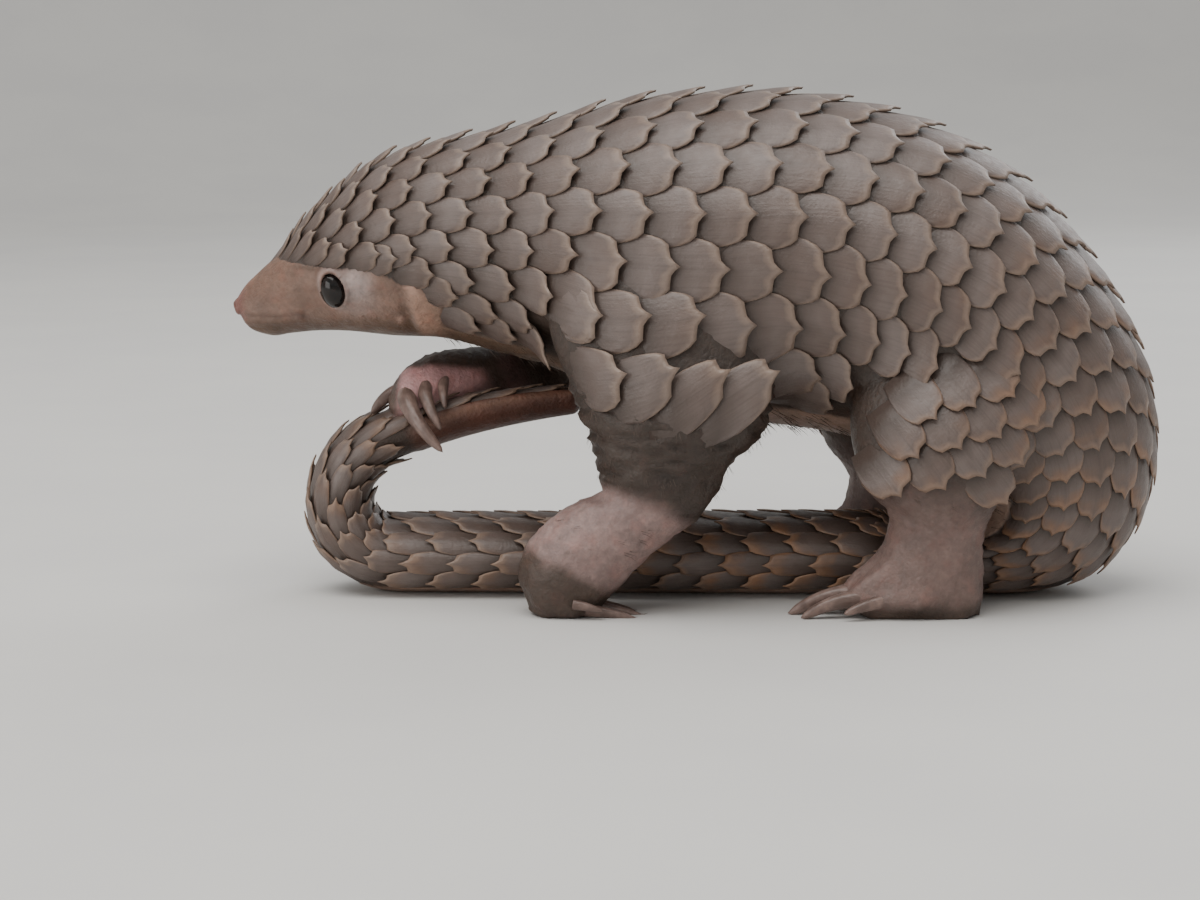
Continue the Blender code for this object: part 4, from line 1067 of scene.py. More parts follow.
def plate_mesh(name):
    """The flat plate: x across from -1 to 1, y from -1 at its root to 0 at its tip, z its height.

    Its map "plate" is x and the share of the way from the root to the rear edge, for the finish,
    and "cell" is a layout of all its faces side by side, for the unwrap.
    """
    columns = len(REAR_EDGE)
    top = []
    shares = []
    for share in PLATE_ROWS:
        for across, rear in REAR_EDGE:
            along = share * rear
            x = across * np.interp(along, *zip(*SIDE_EDGE))
            z = -SCALE_ROOT_DEPTH + (SCALE_TIP_HEIGHT + SCALE_ROOT_DEPTH) * along
            z -= SCALE_SIDE_DROOP * across**2
            if share == 1.0:
                z -= RIM_ROUND
            top.append((x, along - 1.0, z))
            shares.append(share)
    edge = list(range(columns))
    edge += [row * columns + columns - 1 for row in range(1, len(PLATE_ROWS))]
    edge += [(len(PLATE_ROWS) - 1) * columns + column for column in range(columns - 2, -1, -1)]
    edge += [row * columns for row in range(len(PLATE_ROWS) - 2, 0, -1)]
    points = list(top)
    lower = {}
    for index in edge:
        x, y, z = top[index]
        lower[index] = len(points)
        shares.append(shares[index])
        setback = UNDER_SETBACK if y > FREE_PART else 0.0
        points.append((x * UNDER_WIDTH, y - setback, z - SCALE_THICKNESS))
    faces = []
    cells = []

    def cell(index, band):
        x, y, _ = points[index]
        low, high = CELL_BANDS[band]
        return CELL_MIDDLE + CELL_HALF * x, low + (high - low) * (y + 1.0)

    for row in range(len(PLATE_ROWS) - 1):
        for column in range(columns - 1):
            first = row * columns + column
            ring = (first, first + 1, first + columns + 1, first + columns)
            faces.append(ring)
            cells.append([cell(index, "top") for index in ring])
    low, high = CELL_BANDS["rim"]
    for number, (first, second) in enumerate(zip(edge, edge[1:] + edge[:1])):
        faces.append((second, first, lower[first], lower[second]))
        left = CELL_MARGIN + CELL_WIDTH * number / len(edge)
        right = CELL_MARGIN + CELL_WIDTH * (number + 1) / len(edge)
        cells.append([(right, high), (left, high), (left, low), (right, low)])
    left_side = [row * columns for row in range(len(PLATE_ROWS))]
    right_side = [row * columns + columns - 1 for row in range(len(PLATE_ROWS))]
    for row in range(len(PLATE_ROWS) - 2):
        ring = (lower[left_side[row]], lower[left_side[row + 1]],
                lower[right_side[row + 1]], lower[right_side[row]])
        if row == 0:
            ring = tuple(lower[index] for index in [left_side[1]] + [right_side[1]]
                         + list(range(columns - 1, -1, -1)))
        faces.append(ring)
        cells.append([cell(index, "under") for index in ring])
    rear = list(range((len(PLATE_ROWS) - 1) * columns, len(PLATE_ROWS) * columns))
    ring = tuple(lower[index] for index in [left_side[-2]] + rear + [right_side[-2]])
    faces.append(ring)
    cells.append([cell(index, "under") for index in ring])

    piece = make_mesh(name, points, faces)
    data = piece.data
    data.vertices.foreach_set("co", np.array(points, float).ravel())
    plate = data.uv_layers.new(name="plate")
    spots = [(points[index][0], shares[index]) for ring in faces for index in ring]
    plate.data.foreach_set("uv", np.array(spots, float).ravel())
    layout = data.uv_layers.new(name="cell")
    layout.data.foreach_set("uv", np.array([spot for ring in cells for spot in ring]).ravel())
    data.shade_smooth()
    return piece


def lie_grid(course):
    """Distances and turns of the points of a lie, past the edges of the surface."""
    rows = round((course.length + LIE_LEAD) / LIE_STEP)
    across = round(LIE_AROUND * (1 + 2 * LIE_MARGIN))
    s = np.linspace(-LIE_LEAD, course.length, rows + 1)[:, None] + np.zeros(across + 1)
    turn = np.linspace(-LIE_MARGIN, 1 + LIE_MARGIN, across + 1)[None, :] + np.zeros(s.shape)
    return s, turn


def sheet_mesh(name, points, inside):
    """A net of points, rows by lines, opened flat in its map "lie", facing away from a place."""
    rows, across = points.shape[0] - 1, points.shape[1] - 1
    faces = []
    spots = []
    for row in range(rows):
        for line in range(across):
            first = row * (across + 1) + line
            faces.append((first, first + across + 1, first + across + 2, first + 1))
            left, right = line / across, (line + 1) / across
            near, far = row / rows, (row + 1) / rows
            spots += [(left, near), (left, far), (right, far), (right, near)]
    piece = make_mesh(name, points.reshape(-1, 3), faces)
    lie = piece.data.uv_layers.new(name="lie")
    lie.data.foreach_set("uv", np.array(spots, float).ravel())
    middle = piece.data.polygons[len(faces) // 2]
    if middle.normal.dot(middle.center - Vector(inside) * MM) < 0:
        piece.data.flip_normals()
    piece.data.shade_smooth()
    return piece


def lie_mesh(name, course, out):
    """The course's surface opened flat, moved out by a grid of millimetres."""
    s, turn = lie_grid(course)
    middles = course.sections(s.ravel())[0]
    points = course.places(s, turn).reshape(-1, 3)
    away = points - middles
    away /= np.linalg.norm(away, axis=1, keepdims=True)
    points = points + away * out.reshape(-1, 1)
    return sheet_mesh(name, points.reshape(*s.shape, 3), middles[s.size // 2])


def limb_grid(name):
    """How far out, in millimetres, the skin of one limb stands over the body's lie."""
    out = np.zeros(grid_s.shape)
    left = (grid_turn > 0) & (grid_turn < 0.5)
    right = (grid_turn > 0.5) & (grid_turn < 1)
    if name.startswith("fore"):
        near = (grid_s > knots[NECK_END] - LIE_LEAD) & (grid_s < LIMB_SPLIT)
    else:
        near = (grid_s > LIMB_SPLIT) & (grid_s < tail_start + LIE_LEAD)
    near &= left if leg_sides[name] < 0 else right
    places = spine.places(grid_s, grid_turn)[near]
    away = places - spine.sections(grid_s[near])[0]
    away /= np.linalg.norm(away, axis=1, keepdims=True)
    found = []
    for place, heading in zip(places - away * LIMB_INSIDE, away):
        spot, normal, _, distance = surfaces["skin"].ray_cast(Vector(place) * MM, Vector(heading))
        leaves = spot is not None and normal.dot(Vector(heading)) > 0
        found.append(distance / MM - LIMB_INSIDE if leaves else 0.0)
    out[near] = found
    return np.where(out < LIMB_LEAST, 0.0, out)


def hollows_filled(out, passes):
    """A grid of heights whose hollows are filled softly, while nothing gets lower."""
    for _ in range(passes):
        for axis in (0, 1):
            soft = (np.roll(out, 1, axis) + np.roll(out, -1, axis)) / 2
            out = np.maximum(out, (soft + out) / 2)
    return out


def limb_sheet(name):
    """How far out the scales of a limb lie, sloping up to it and held on behind and below it."""
    out = limb_out[name].copy()
    downward = 1 if leg_sides[name] < 0 else -1
    for _ in range(LIMB_REACH):
        for axis, shift in ((0, 1), (1, downward)):
            out = np.maximum(out, np.roll(out, shift, axis) - LIMB_FALL)
    out = hollows_filled(out, SLOPE_PASSES)
    return out + LIMB_CLEAR * np.minimum(1.0, out)


def at_grid(grid, s, turn):
    """The value of a grid of the body's lie at one distance and turn."""
    row = (s + LIE_LEAD) / (spine.length + LIE_LEAD) * (grid.shape[0] - 1)
    line = (turn + LIE_MARGIN) / (1 + 2 * LIE_MARGIN) * (grid.shape[1] - 1)
    row, line = min(max(row, 0.0), grid.shape[0] - 1.001), min(line, grid.shape[1] - 1.001)
    near, left = int(row), int(line)
    far_share, right_share = row - near, line - left
    ends = [grid[at, left] * (1 - right_share) + grid[at, left + 1] * right_share
            for at in (near, near + 1)]
    return ends[0] * (1 - far_share) + ends[1] * far_share


def points_mesh(name, points, values):
    """Loose points in the flat plane of a lie, with named numbers for each."""
    data = bpy.data.meshes.new(name)
    data.from_pydata(points, [], [])
    for key, numbers in values.items():
        item = data.attributes.new(key, "FLOAT", "POINT")
        item.data.foreach_set("value", np.array(numbers, float))
    piece = bpy.data.objects.new(name, data)
    bpy.context.scene.collection.objects.link(piece)
    return piece


def tree_inputs(tree, **kinds):
    """Named inputs for a tree; an underscore in a name stands for a space."""
    for name, kind in kinds.items():
        tree.interface.new_socket(name=name.replace("_", " "), in_out="INPUT",
                                  socket_type="NodeSocket" + kind)


def named(tree, name, kind="FLOAT"):
    """What the mesh carries under a name."""
    item = node(tree, "GeometryNodeInputNamedAttribute", data_type=kind)
    item.inputs["Name"].default_value = name
    return item.outputs["Attribute"]


def vector_maths(tree, operation, first, second):
    """A sum, product and so on of vectors; SCALE takes a number as its second value."""
    item = node(tree, "ShaderNodeVectorMath", operation=operation)
    last = item.inputs[3] if operation == "SCALE" else item.inputs[1]
    tree.links.new(first, item.inputs[0])
    tree.links.new(second, last)
    return item.outputs[0]


def combined(tree, x, y, z):
    """A vector from three values, each a socket or a number."""
    item = node(tree, "ShaderNodeCombineXYZ")
    for socket, value in zip(item.inputs, (x, y, z)):
        if isinstance(value, (int, float)):
            socket.default_value = value
        else:
            tree.links.new(value, socket)
    return item.outputs[0]


def scale_tree():
    """Set a plate on each point, lay it on the lie, and unwrap each in its own cell."""
    tree = bpy.data.node_groups.new("lay_scales", "GeometryNodeTree")
    tree_inputs(tree, Points="Geometry", Plate="Object", Lie="Object", Lie_Start="Vector",
                Lie_Size="Vector", Cells_Across="Float", Finish="Material")
    tree.interface.new_socket(name="Scales", in_out="OUTPUT", socket_type="NodeSocketGeometry")
    given = node(tree, "NodeGroupInput").outputs
    plate = node(tree, "GeometryNodeObjectInfo")
    lie = node(tree, "GeometryNodeObjectInfo")
    tree.links.new(given["Plate"], plate.inputs["Object"])
    tree.links.new(given["Lie"], lie.inputs["Object"])

    setter = node(tree, "GeometryNodeInstanceOnPoints")
    tree.links.new(given["Points"], setter.inputs["Points"])
    tree.links.new(plate.outputs["Geometry"], setter.inputs["Instance"])
    tree.links.new(combined(tree, 0.0, 0.0, named(tree, "yaw")), setter.inputs["Rotation"])
    size = combined(tree, named(tree, "half_width"), named(tree, "length"), named(tree, "lift"))
    tree.links.new(size, setter.inputs["Scale"])
    real = node(tree, "GeometryNodeRealizeInstances")
    tree.links.new(setter.outputs[0], real.inputs[0])

    flat = node(tree, "GeometryNodeInputPosition").outputs[0]
    spot = vector_maths(tree, "DIVIDE", vector_maths(tree, "SUBTRACT", flat, given["Lie Start"]),
                        given["Lie Size"])
    found = []
    for reading in ("GeometryNodeInputPosition", "GeometryNodeInputNormal"):
        sample = node(tree, "GeometryNodeSampleUVSurface", data_type="FLOAT_VECTOR")
        tree.links.new(lie.outputs["Geometry"], sample.inputs["Mesh"])
        tree.links.new(node(tree, reading).outputs[0], sample.inputs["Value"])
        tree.links.new(named(tree, "lie", "FLOAT_VECTOR"), sample.inputs["UV Map"])
        tree.links.new(spot, sample.inputs["Sample UV"])
        found.append(sample.outputs["Value"])
    parts = node(tree, "ShaderNodeSeparateXYZ")
    tree.links.new(flat, parts.inputs[0])
    height = maths(tree, "MULTIPLY", parts.outputs[2], MM)
    out = vector_maths(tree, "SCALE", found[1], height)
    lay = node(tree, "GeometryNodeSetPosition")
    tree.links.new(real.outputs[0], lay.inputs["Geometry"])
    tree.links.new(vector_maths(tree, "ADD", found[0], out), lay.inputs["Position"])

    number = named(tree, "number")
    across = maths(tree, "FLOORED_MODULO", number, given["Cells Across"])
    down = maths(tree, "FLOOR", maths(tree, "DIVIDE", number, given["Cells Across"]))
    cell = vector_maths(tree, "ADD", combined(tree, across, down, 0.0),
                        named(tree, "cell", "FLOAT_VECTOR"))
    share = maths(tree, "DIVIDE", 1.0, given["Cells Across"])
    unwrap = node(tree, "GeometryNodeStoreNamedAttribute", data_type="FLOAT2", domain="CORNER")
    unwrap.inputs["Name"].default_value = "OFBake"
    tree.links.new(lay.outputs[0], unwrap.inputs["Geometry"])
    tree.links.new(vector_maths(tree, "SCALE", cell, share), unwrap.inputs["Value"])
    paint = node(tree, "GeometryNodeSetMaterial")
    tree.links.new(unwrap.outputs[0], paint.inputs["Geometry"])
    tree.links.new(given["Finish"], paint.inputs["Material"])
    tree.links.new(paint.outputs[0], node(tree, "NodeGroupOutput").inputs[0])
    return tree


def grown(piece, tree, settings, name):
    """Run a tree on an object and keep the result as a plain mesh of the given name."""
    change = piece.modifiers.new("grow", "NODES")
    change.node_group = tree
    sockets = {item.name: item.identifier for item in tree.interface.items_tree
               if item.item_type == "SOCKET" and item.in_out == "INPUT"}
    for key, value in settings.items():
        change[sockets[key]] = value
    bpy.context.view_layer.update()
    evaluated = piece.evaluated_get(bpy.context.evaluated_depsgraph_get())
    data = bpy.data.meshes.new_from_object(evaluated)
    piece.modifiers.remove(change)
    bpy.data.objects.remove(piece)
    data.name = name
    result = bpy.data.objects.new(name, data)
    bpy.context.scene.collection.objects.link(result)
    return result


def half_rows(start, end, spacing):
    """Distances of the half rows from start to end, with an even count of steps."""
    steps = max(2, 2 * round((end - start) / spacing / 2))
    return np.linspace(start, end, steps + 1)


def lattice(lengths):
    """Distance, turn, half row and count of files of each scale: (start, end, spacing, files)."""
    for start, end, spacing, files in lengths:
        rows = half_rows(start, end, spacing)
        for row in range(1, len(rows)):
            for file in range(row % 2, files, 2):
                yield rows[row], file / files, rows[1] - rows[0], files


def along_border(s, turn, step, files):
    """The turn of a scale, moved up where its side would pass the edge of the bare skin."""
    upward = -1 if turn < 0.5 else 1
    for share in BORDER_SHIFTS:
        moved = turn + upward * share / files
        side = moved - upward * BORDER_SIDE / files
        inside = (scale_lift(s, moved) > 0) & (scale_lift(s - step, side) > 0)
        if inside & (scale_lift(max(s - ROOT_ROWS * step, 0.0), moved) > 0):
            return moved
    return None


def in_front_of(name, s, turn, step):
    """Whether a scale of the body starts in front of a limb and rises over its edge."""
    root = at_grid(sheets[name], s - FRINGE_BACK * step, turn)
    tip = at_grid(sheets[name], s, turn)
    return tip > FRINGE and root + FRINGE < tip < root + STEEPEST and root < LIMB_START


class Scales:
    """Places for plates on a lie, with the values that the tree reads."""

    KEYS = ("half_width", "length", "lift", "yaw", "number", "tint", "rust")

    def __init__(self):
        self.places = []
        self.values = {key: [] for key in self.KEYS}

    def add(self, s, turn, half_width, length, lift, yaw, rust):
        """One scale, varied a little by the next six random numbers."""
        drawn = chance.random(6)
        self.places.append((turn * LIE_GIRTH, s + (drawn[0] - 0.5) * SCALE_SLIP, 0.0))
        sizes = [size * (least + more * share) for size, (least, more), share
                 in zip((half_width, length, lift), (WIDTH_VARIES, LENGTH_VARIES, LIFT_VARIES),
                        drawn[1:4])]
        yaw = yaw + (drawn[4] - 0.5) * 2 * SCALE_YAW
        new = (*sizes, yaw, len(self.places) - 1, drawn[5], rust)
        for key, value in zip(self.KEYS, new):
            self.values[key].append(float(value))

    def add_on_body(self, s, turn, step, files, tip_back):
        """One scale of the body's lattice, unless the skin is bare or a limb covers it."""
        moved = along_border(s, turn, step, files)
        if moved is None:
            return
        for name, grid in limb_out.items():
            if name in sheets:
                tip, root = [at_grid(grid, s - back * step, moved)
                             for back in (tip_back, COVERED_BACK)]
                covered = tip > LIMB_START or root > FILLET_MOST
            else:
                covered = max(at_grid(grid, s - back * step, moved)
                              for back in THIGH_BACKS) > THIGH_START
            if covered:
                return
        rust = RUST_IN_FRONT + (1 - RUST_IN_FRONT) * ramp(s, knots[FRONT_END], tail_start)
        rust = rust * (1 - TAIL_RUST_LOSS * ramp(s - tail_start, *TAIL_RUST_FADE))
        self.add(s, moved, SCALE_HALF_WIDTH / files * LIE_GIRTH, SCALE_LENGTH * step,
                 max(LEAST_LIFT, scale_lift(s, moved)), 0.0, rust)


def scale_finish():
    """Horn with dark lines along it, painted shade at the root under the scale in front, worn
    pale or rusty at the rear edge.
    """
    finish, tree, shader = new_finish("scale_horn")
    where = node(tree, "ShaderNodeTexCoord").outputs["Object"]
    on_plate = node(tree, "ShaderNodeUVMap", uv_map="plate").outputs[0]
    parts = node(tree, "ShaderNodeSeparateXYZ")
    tree.links.new(on_plate, parts.inputs[0])
    along = parts.outputs[1]
    tint = attribute(tree, "tint")
    rust = attribute(tree, "rust")

    stretched = node(tree, "ShaderNodeVectorMath", operation="MULTIPLY")
    tree.links.new(on_plate, stretched.inputs[0])
    stretched.inputs[1].default_value = STRIAE_STRETCH
    shifted = node(tree, "ShaderNodeVectorMath", operation="ADD")
    tree.links.new(stretched.outputs[0], shifted.inputs[0])
    tree.links.new(maths(tree, "MULTIPLY", tint, 40.0), shifted.inputs[1])
    striae = node(tree, "ShaderNodeTexNoise")
    striae.inputs["Scale"].default_value = STRIAE_SCALE
    striae.inputs["Detail"].default_value = 5.0
    tree.links.new(shifted.outputs[0], striae.inputs["Vector"])
    lines = striae.outputs["Fac"]

    cloud = shader_noise(tree, where, 4.5)
    shade = spread(tree, maths(tree, "ADD", maths(tree, "MULTIPLY", tint, 0.5),
                               maths(tree, "MULTIPLY", cloud, 0.7)), 0.3, 0.9)
    base = tinted(tree, shade, SCALE_BROWN, SCALE_GREY)
    # Painted shade: the root of each plate, under the edge of the scale in front, is darkened.
    rooted = spread(tree, along, 0.34, 0.66, 0.85, 0.0)
    base = tinted(tree, rooted, base, SCALE_STREAK_AND_SHADE)
    streaks = spread(tree, lines, 0.45, 0.75, 0.0, 0.3)
    base = tinted(tree, streaks, base, SCALE_STREAK_AND_SHADE)

    wander = maths(tree, "SUBTRACT", shader_noise(tree, where, 1.4), 0.5)
    rear = maths(tree, "ADD", along, maths(tree, "MULTIPLY", wander, 0.16))
    patches = spread(tree, shader_noise(tree, where, 7.0, 2.0), 0.46, 0.62)
    rusty = maths(tree, "MULTIPLY", spread(tree, rear, 0.66, 0.96),
                  maths(tree, "MULTIPLY", rust, patches))
    base = tinted(tree, rusty, base, SCALE_RUST)
    rim = spread(tree, rear, 0.84, 1.0, 0.0, 0.75)
    warm = tinted(tree, maths(tree, "MULTIPLY", rust, 0.6), SCALE_RIM, SCALE_RUST)
    base = tinted(tree, rim, base, warm)
    tree.links.new(base, shader.inputs["Base Color"])

    gloss = spread(tree, shader_noise(tree, where, 1.1), 0.3, 0.7, 0.36, 0.52)
    tree.links.new(gloss, shader.inputs["Roughness"])
    fine = relief_of(tree, lines, 0.045)
    pits = spread(tree, shader_noise(tree, where, 0.5, 3.0), 0.3, 0.7)
    tree.links.new(relief_of(tree, pits, 0.03, fine), shader.inputs["Normal"])
    return finish


knots = spine.knots
chance = np.random.default_rng(SCALE_SEED)
plate = plate_mesh("plate")
grid_s, grid_turn = lie_grid(spine)
limb_out = {name: limb_grid(name) for name in legs}
sheets = {name: limb_sheet(name) for name in legs if name.startswith("fore")}
fillet = np.minimum(sum(limb_out.values()), LIMB_START)
for name in sheets:
    out = limb_out[name]
    behind = np.maximum.accumulate(out, axis=0) > out + PAST_PEAK
    fillet = np.maximum(fillet, np.where(behind, np.minimum(out, FILLET_MOST), 0.0))
lie = lie_mesh("lie", spine, hollows_filled(fillet, FILLET_PASSES))
lay_scales = scale_tree()
scale_horn = scale_finish()
tail_cuts = [tail_start + tail_length * share for share in TAIL_CUTS] + [spine.length]
scale_pieces = {
    "scales_head_neck": [(0.0, knots[HEAD_END], HALF_ROW_HEAD, BODY_FILES),
                         (knots[HEAD_END], knots[NECK_END], HALF_ROW_NECK, BODY_FILES)],
    "scales_back": [(knots[NECK_END], knots[FRONT_END], HALF_ROW_BODY, BODY_FILES),
                    (knots[FRONT_END], knots[REAR_END], HALF_ROW_BODY, BODY_FILES)],
    "scales_tail_base": [(knots[REAR_END], tail_start, HALF_ROW_BODY, BODY_FILES)],
    "scales_tail": [(tail_start, tail_cuts[0], HALF_ROW_TAIL, TAIL_FILES),
                    (tail_cuts[0], tail_cuts[1], HALF_ROW_TAIL, TAIL_FILES),
                    (tail_cuts[1], tail_cuts[2], HALF_ROW_TAIL, TAIL_FILES)],
}


def lay_on(name, scales, start=None, size=None):
    """Scales as one piece on the present lie, whose flat form has the given start and size."""
    settings = {
        "Plate": plate,
        "Lie": lie,
        "Lie Start": start or (-LIE_MARGIN * LIE_GIRTH, -LIE_LEAD, 0.0),
        "Lie Size": size or ((1 + 2 * LIE_MARGIN) * LIE_GIRTH, spine.length + LIE_LEAD, 1.0),
        "Cells Across": float(math.ceil(math.sqrt(len(scales.places)))),
        "Finish": scale_horn,
    }
    piece = grown(points_mesh(name, scales.places, scales.values), lay_scales, settings, name)
    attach(piece, "root")


for name, lengths in scale_pieces.items():
    scales = Scales()
    for s, turn, step, files in lattice(lengths):
        if not any(in_front_of(limb, s, turn, step) for limb in sheets):
            scales.add_on_body(s, turn, step, files, TIP_BACK)
    lay_on(name, scales)
bpy.data.objects.remove(lie)

# The upper arms carry the same horn scales, down to the elbow. Their rows go on from those of the
# body, on a sheet that rises from it over the arm, and the last ones stand free behind the arm.
ARM_FIRST_FILE = 5
ARM_FILES = 8
ARM_SPACING = 6.9
ARM_WIDER = 1.26
ARM_GROWTH = 0.045
ARM_LIFT = 1.05
ARM_RUST = 0.1
ARM_LOWEST = 33.0
SIDE_DROP = 2.0
SIDE_DRAW_IN = 0.1
ARM_FLOW = {"foreleg_left": math.radians(9.0), "foreleg_right": math.radians(5.0)}


def down_the_arm(name, s):
    """Turns of the sheet at one distance, the way walked round it to each, and its heights."""
    line = int(round((s + LIE_LEAD) / LIE_STEP))
    turns = grid_turn[line]
    middle = spine.sections(grid_s[line, 0])[0]
    body = spine.places(grid_s[line], turns)
    away = body - middle
    away /= np.linalg.norm(away, axis=1, keepdims=True)
    sheet = body + away * sheets[name][line][:, None]
    steps = np.linalg.norm(np.diff(sheet, axis=0), axis=1)
    return turns, np.concatenate([[0.0], np.cumsum(steps)]), sheet[:, 2]


def arm_scales(name):
    """The scales over one arm, in rows that go on from the rows of the body."""
    scales = Scales()
    side = -leg_sides[name]
    lengths = scale_pieces["scales_head_neck"] + scale_pieces["scales_back"]
    for s, turn, step, files in lattice(lengths):
        if in_front_of(name, s, turn, step):
            scales.add_on_body(s, turn, step, files, ARM_TIP_BACK)
    rows = {s: (step, round(turn * files) % 2) for s, turn, step, files in lattice(lengths)}
    begin = ARM_FIRST_FILE / BODY_FILES
    begin = begin if side > 0 else 1 - begin
    for s, (step, odd) in rows.items():
        turns, walk, heights = down_the_arm(name, s - step)
        for file in range(1, ARM_FILES):
            walked = np.interp(begin, turns, walk) + side * file * ARM_SPACING
            turn = float(np.interp(walked, walk, turns))
            if (file + ARM_FIRST_FILE) % 2 != odd or not 0 < turn < 1:
                continue
            if np.interp(walked, walk, heights) < ARM_LOWEST:
                continue
            carried = at_grid(limb_out[name], s - 2 * step, turn)
            if file == 1:
                carried = max(carried, at_grid(limb_out[name], s - step, turn))
            if carried < LIMB_START:
                continue
            size = 1 + ARM_GROWTH * file
            half = SCALE_HALF_WIDTH * ARM_SPACING * ARM_WIDER * size
            edges = np.interp([walked - half, walked + half], walk, turns)
            upper = 0 if side > 0 else 1
            lowest = at_grid(sheets[name], s, turn) - SIDE_DROP
            while at_grid(sheets[name], s, edges[upper]) < lowest:
                edges[upper] += SIDE_DRAW_IN * (turn - edges[upper])
            scales.add(s, edges.mean(), (edges[1] - edges[0]) / 2 * LIE_GIRTH,
                       SCALE_LENGTH * step * size, ARM_LIFT, side * ARM_FLOW[name] * file,
                       ARM_RUST)
    return scales


for name in sheets:
    lie = lie_mesh("lie", spine, sheets[name])
    lay_on("scales_" + name, arm_scales(name))
    bpy.data.objects.remove(lie)

# The haunches and thighs carry smaller horn scales that slant down over the leg to the ankle.
# They grow from the skin of the leg and go on from under the last ones of the flank.
THIGH_MIDDLE = (33.0, 30.0)
THIGH_REACH = 30.0
THIGH_STEP = 0.75
THIGH_SLANT = math.radians(50.0)
THIGH_FAR = 60.0
THIGH_LEAST = 8.0
THIGH_FALL = 0.45
THIGH_CLEAR = 0.35
THIGH_SPACING = 5.3
THIGH_HALF_ROW = 2.75
THIGH_WIDER = 1.1
THIGH_OVER = 0.8
THIGH_GAP = 2.2
THIGH_MIDDLE_BACK = 0.4
THIGH_ROOT_BACK = 0.85
THIGH_LIFT = 0.85
THIGH_LOWEST = 16.5
THIGH_RUST = 0.55
THIGH_FLOW = math.radians(1.1)


def thigh_net(name):
    """Places seen from the side of one thigh, in rows that slant down, and its flat axes."""
    side = leg_sides[name]
    down = np.array([math.cos(THIGH_SLANT), 0.0, -math.sin(THIGH_SLANT)])
    across = np.array([math.sin(THIGH_SLANT), 0.0, math.cos(THIGH_SLANT)]) * side
    shift = HIND_RIGHT_SHIFT if side > 0 else 0.0
    middle = np.array([THIGH_MIDDLE[0] + shift, 0.0, THIGH_MIDDLE[1]])
    line = np.arange(-THIGH_REACH, THIGH_REACH + THIGH_STEP / 2, THIGH_STEP)
    return middle + line[:, None, None] * down + line[None, :, None] * across


def seen_from_side(surface, net, side):
    """How far out from the middle plane a surface stands at each place of a net."""
    out = np.full(net.shape[:2], THIGH_LEAST)
    for at in np.ndindex(out.shape):
        start = Vector((net[at][0], side * THIGH_FAR, net[at][2])) * MM
        spot = surface.ray_cast(start, Vector((0, -side, 0)))[0]
        if spot is not None:
            out[at] = max(THIGH_LEAST, side * spot.y / MM)
    return out


def softened(out, fall, passes):
    """A net of heights that nowhere falls away from a point faster than a share of the way."""
    for _ in range(out.shape[0]):
        for axis in (0, 1):
            for shift in (-1, 1):
                out = np.maximum(out, np.roll(out, shift, axis) - fall)
    return hollows_filled(out, passes)


def thigh_scales(name, over, gap, net):
    """The scales over one thigh, where it stands over the body and its sheet is near the skin."""
    scales = Scales()
    side = leg_sides[name]

    def at(grid, along, across):
        row, line = [int(round((value + THIGH_REACH) / THIGH_STEP)) for value in (along, across)]
        return grid[min(max(row, 0), len(grid) - 1), min(max(line, 0), len(grid) - 1)]

    rows = int(THIGH_REACH / THIGH_HALF_ROW) - 1
    files = int(THIGH_REACH / THIGH_SPACING) - 1
    length = SCALE_LENGTH * THIGH_HALF_ROW
    for row in range(-rows, rows + 1):
        for file in range(-files, files + 1):
            along, across = row * THIGH_HALF_ROW, file * THIGH_SPACING
            carried = at(over, along - THIGH_MIDDLE_BACK * length, across) > THIGH_OVER
            rooted = at(gap, along - THIGH_ROOT_BACK * length, across) < THIGH_GAP
            above = at(net, along, across)[2] > THIGH_LOWEST
            if (row + file) % 2 == 0 and carried and rooted and above:
                scales.add(along, across / LIE_GIRTH,
                           SCALE_HALF_WIDTH * THIGH_SPACING * THIGH_WIDER, length,
                           THIGH_LIFT, side * THIGH_FLOW * row, THIGH_RUST)
    return scales


for name in ("hind_leg_left", "hind_leg_right"):
    side = leg_sides[name]
    net = thigh_net(name)
    leg_out = seen_from_side(surfaces[name], net, side)
    body_out = seen_from_side(surfaces["body"], net, side)
    skin_out = seen_from_side(surfaces["skin"], net, side)
    sheet = softened(skin_out, THIGH_FALL * THIGH_STEP, SLOPE_PASSES)
    net[..., 1] = side * (sheet + THIGH_CLEAR)
    lie = sheet_mesh("lie", net, (THIGH_MIDDLE[0], 0.0, THIGH_MIDDLE[1]))
    scales = thigh_scales(name, leg_out - body_out, sheet - skin_out, net)
    lay_on("scales_" + name, scales, (-THIGH_REACH, -THIGH_REACH, 0.0),
           (2 * THIGH_REACH, 2 * THIGH_REACH, 1.0))
    bpy.data.objects.remove(lie)
bpy.data.objects.remove(plate)

# Sparse stiff hair grows on the bare skin of the forearms, throat, chest and belly. It is set in
# small tufts that lie along the limb or towards the tail, and each tuft stands on its own root.
HAIRS_IN_TUFT = 3
HAIR_SIDES = 3
HAIR_RADIUS = 0.05
HAIR_SPREAD = 0.55
HAIR_APART = 0.35
HAIR_BEND = 0.22
# Height and thickness of a hair's rings, and their place on the map, before its point.
HAIR_RINGS = [(-0.05, 1.0, 0.1), (0.5, 0.8, 0.5)]
HAIR_POINT = 0.95
HAIR_ROOT = 0.08
TUFTS_PER_MM2 = 0.3
TUFT_SEED = 5
TUFT_PATCH = 0.003
TUFT_SIZES = (0.6, 1.2)
HAIR_LOWEST = 4.5
# Skin colour where it grows, how near the colour has to be, share of the tufts, length, flow.
HAIR_GROWS = [
    (FOREARM_BROWN, 0.003, 0.35, 1.3, (0.6, 0.0, -2.6)),
    (CHEST_BROWN, 0.020, 0.5, 1.5, (2.6, 0.0, -1.0)),
    (BELLY_TAN, 0.040, 1.0, 1.9, (2.6, 0.0, -0.3)),
]
HAIR_DARK = (0.040, 0.027, 0.020)
HAIR_LIGHT = (0.105, 0.074, 0.056)


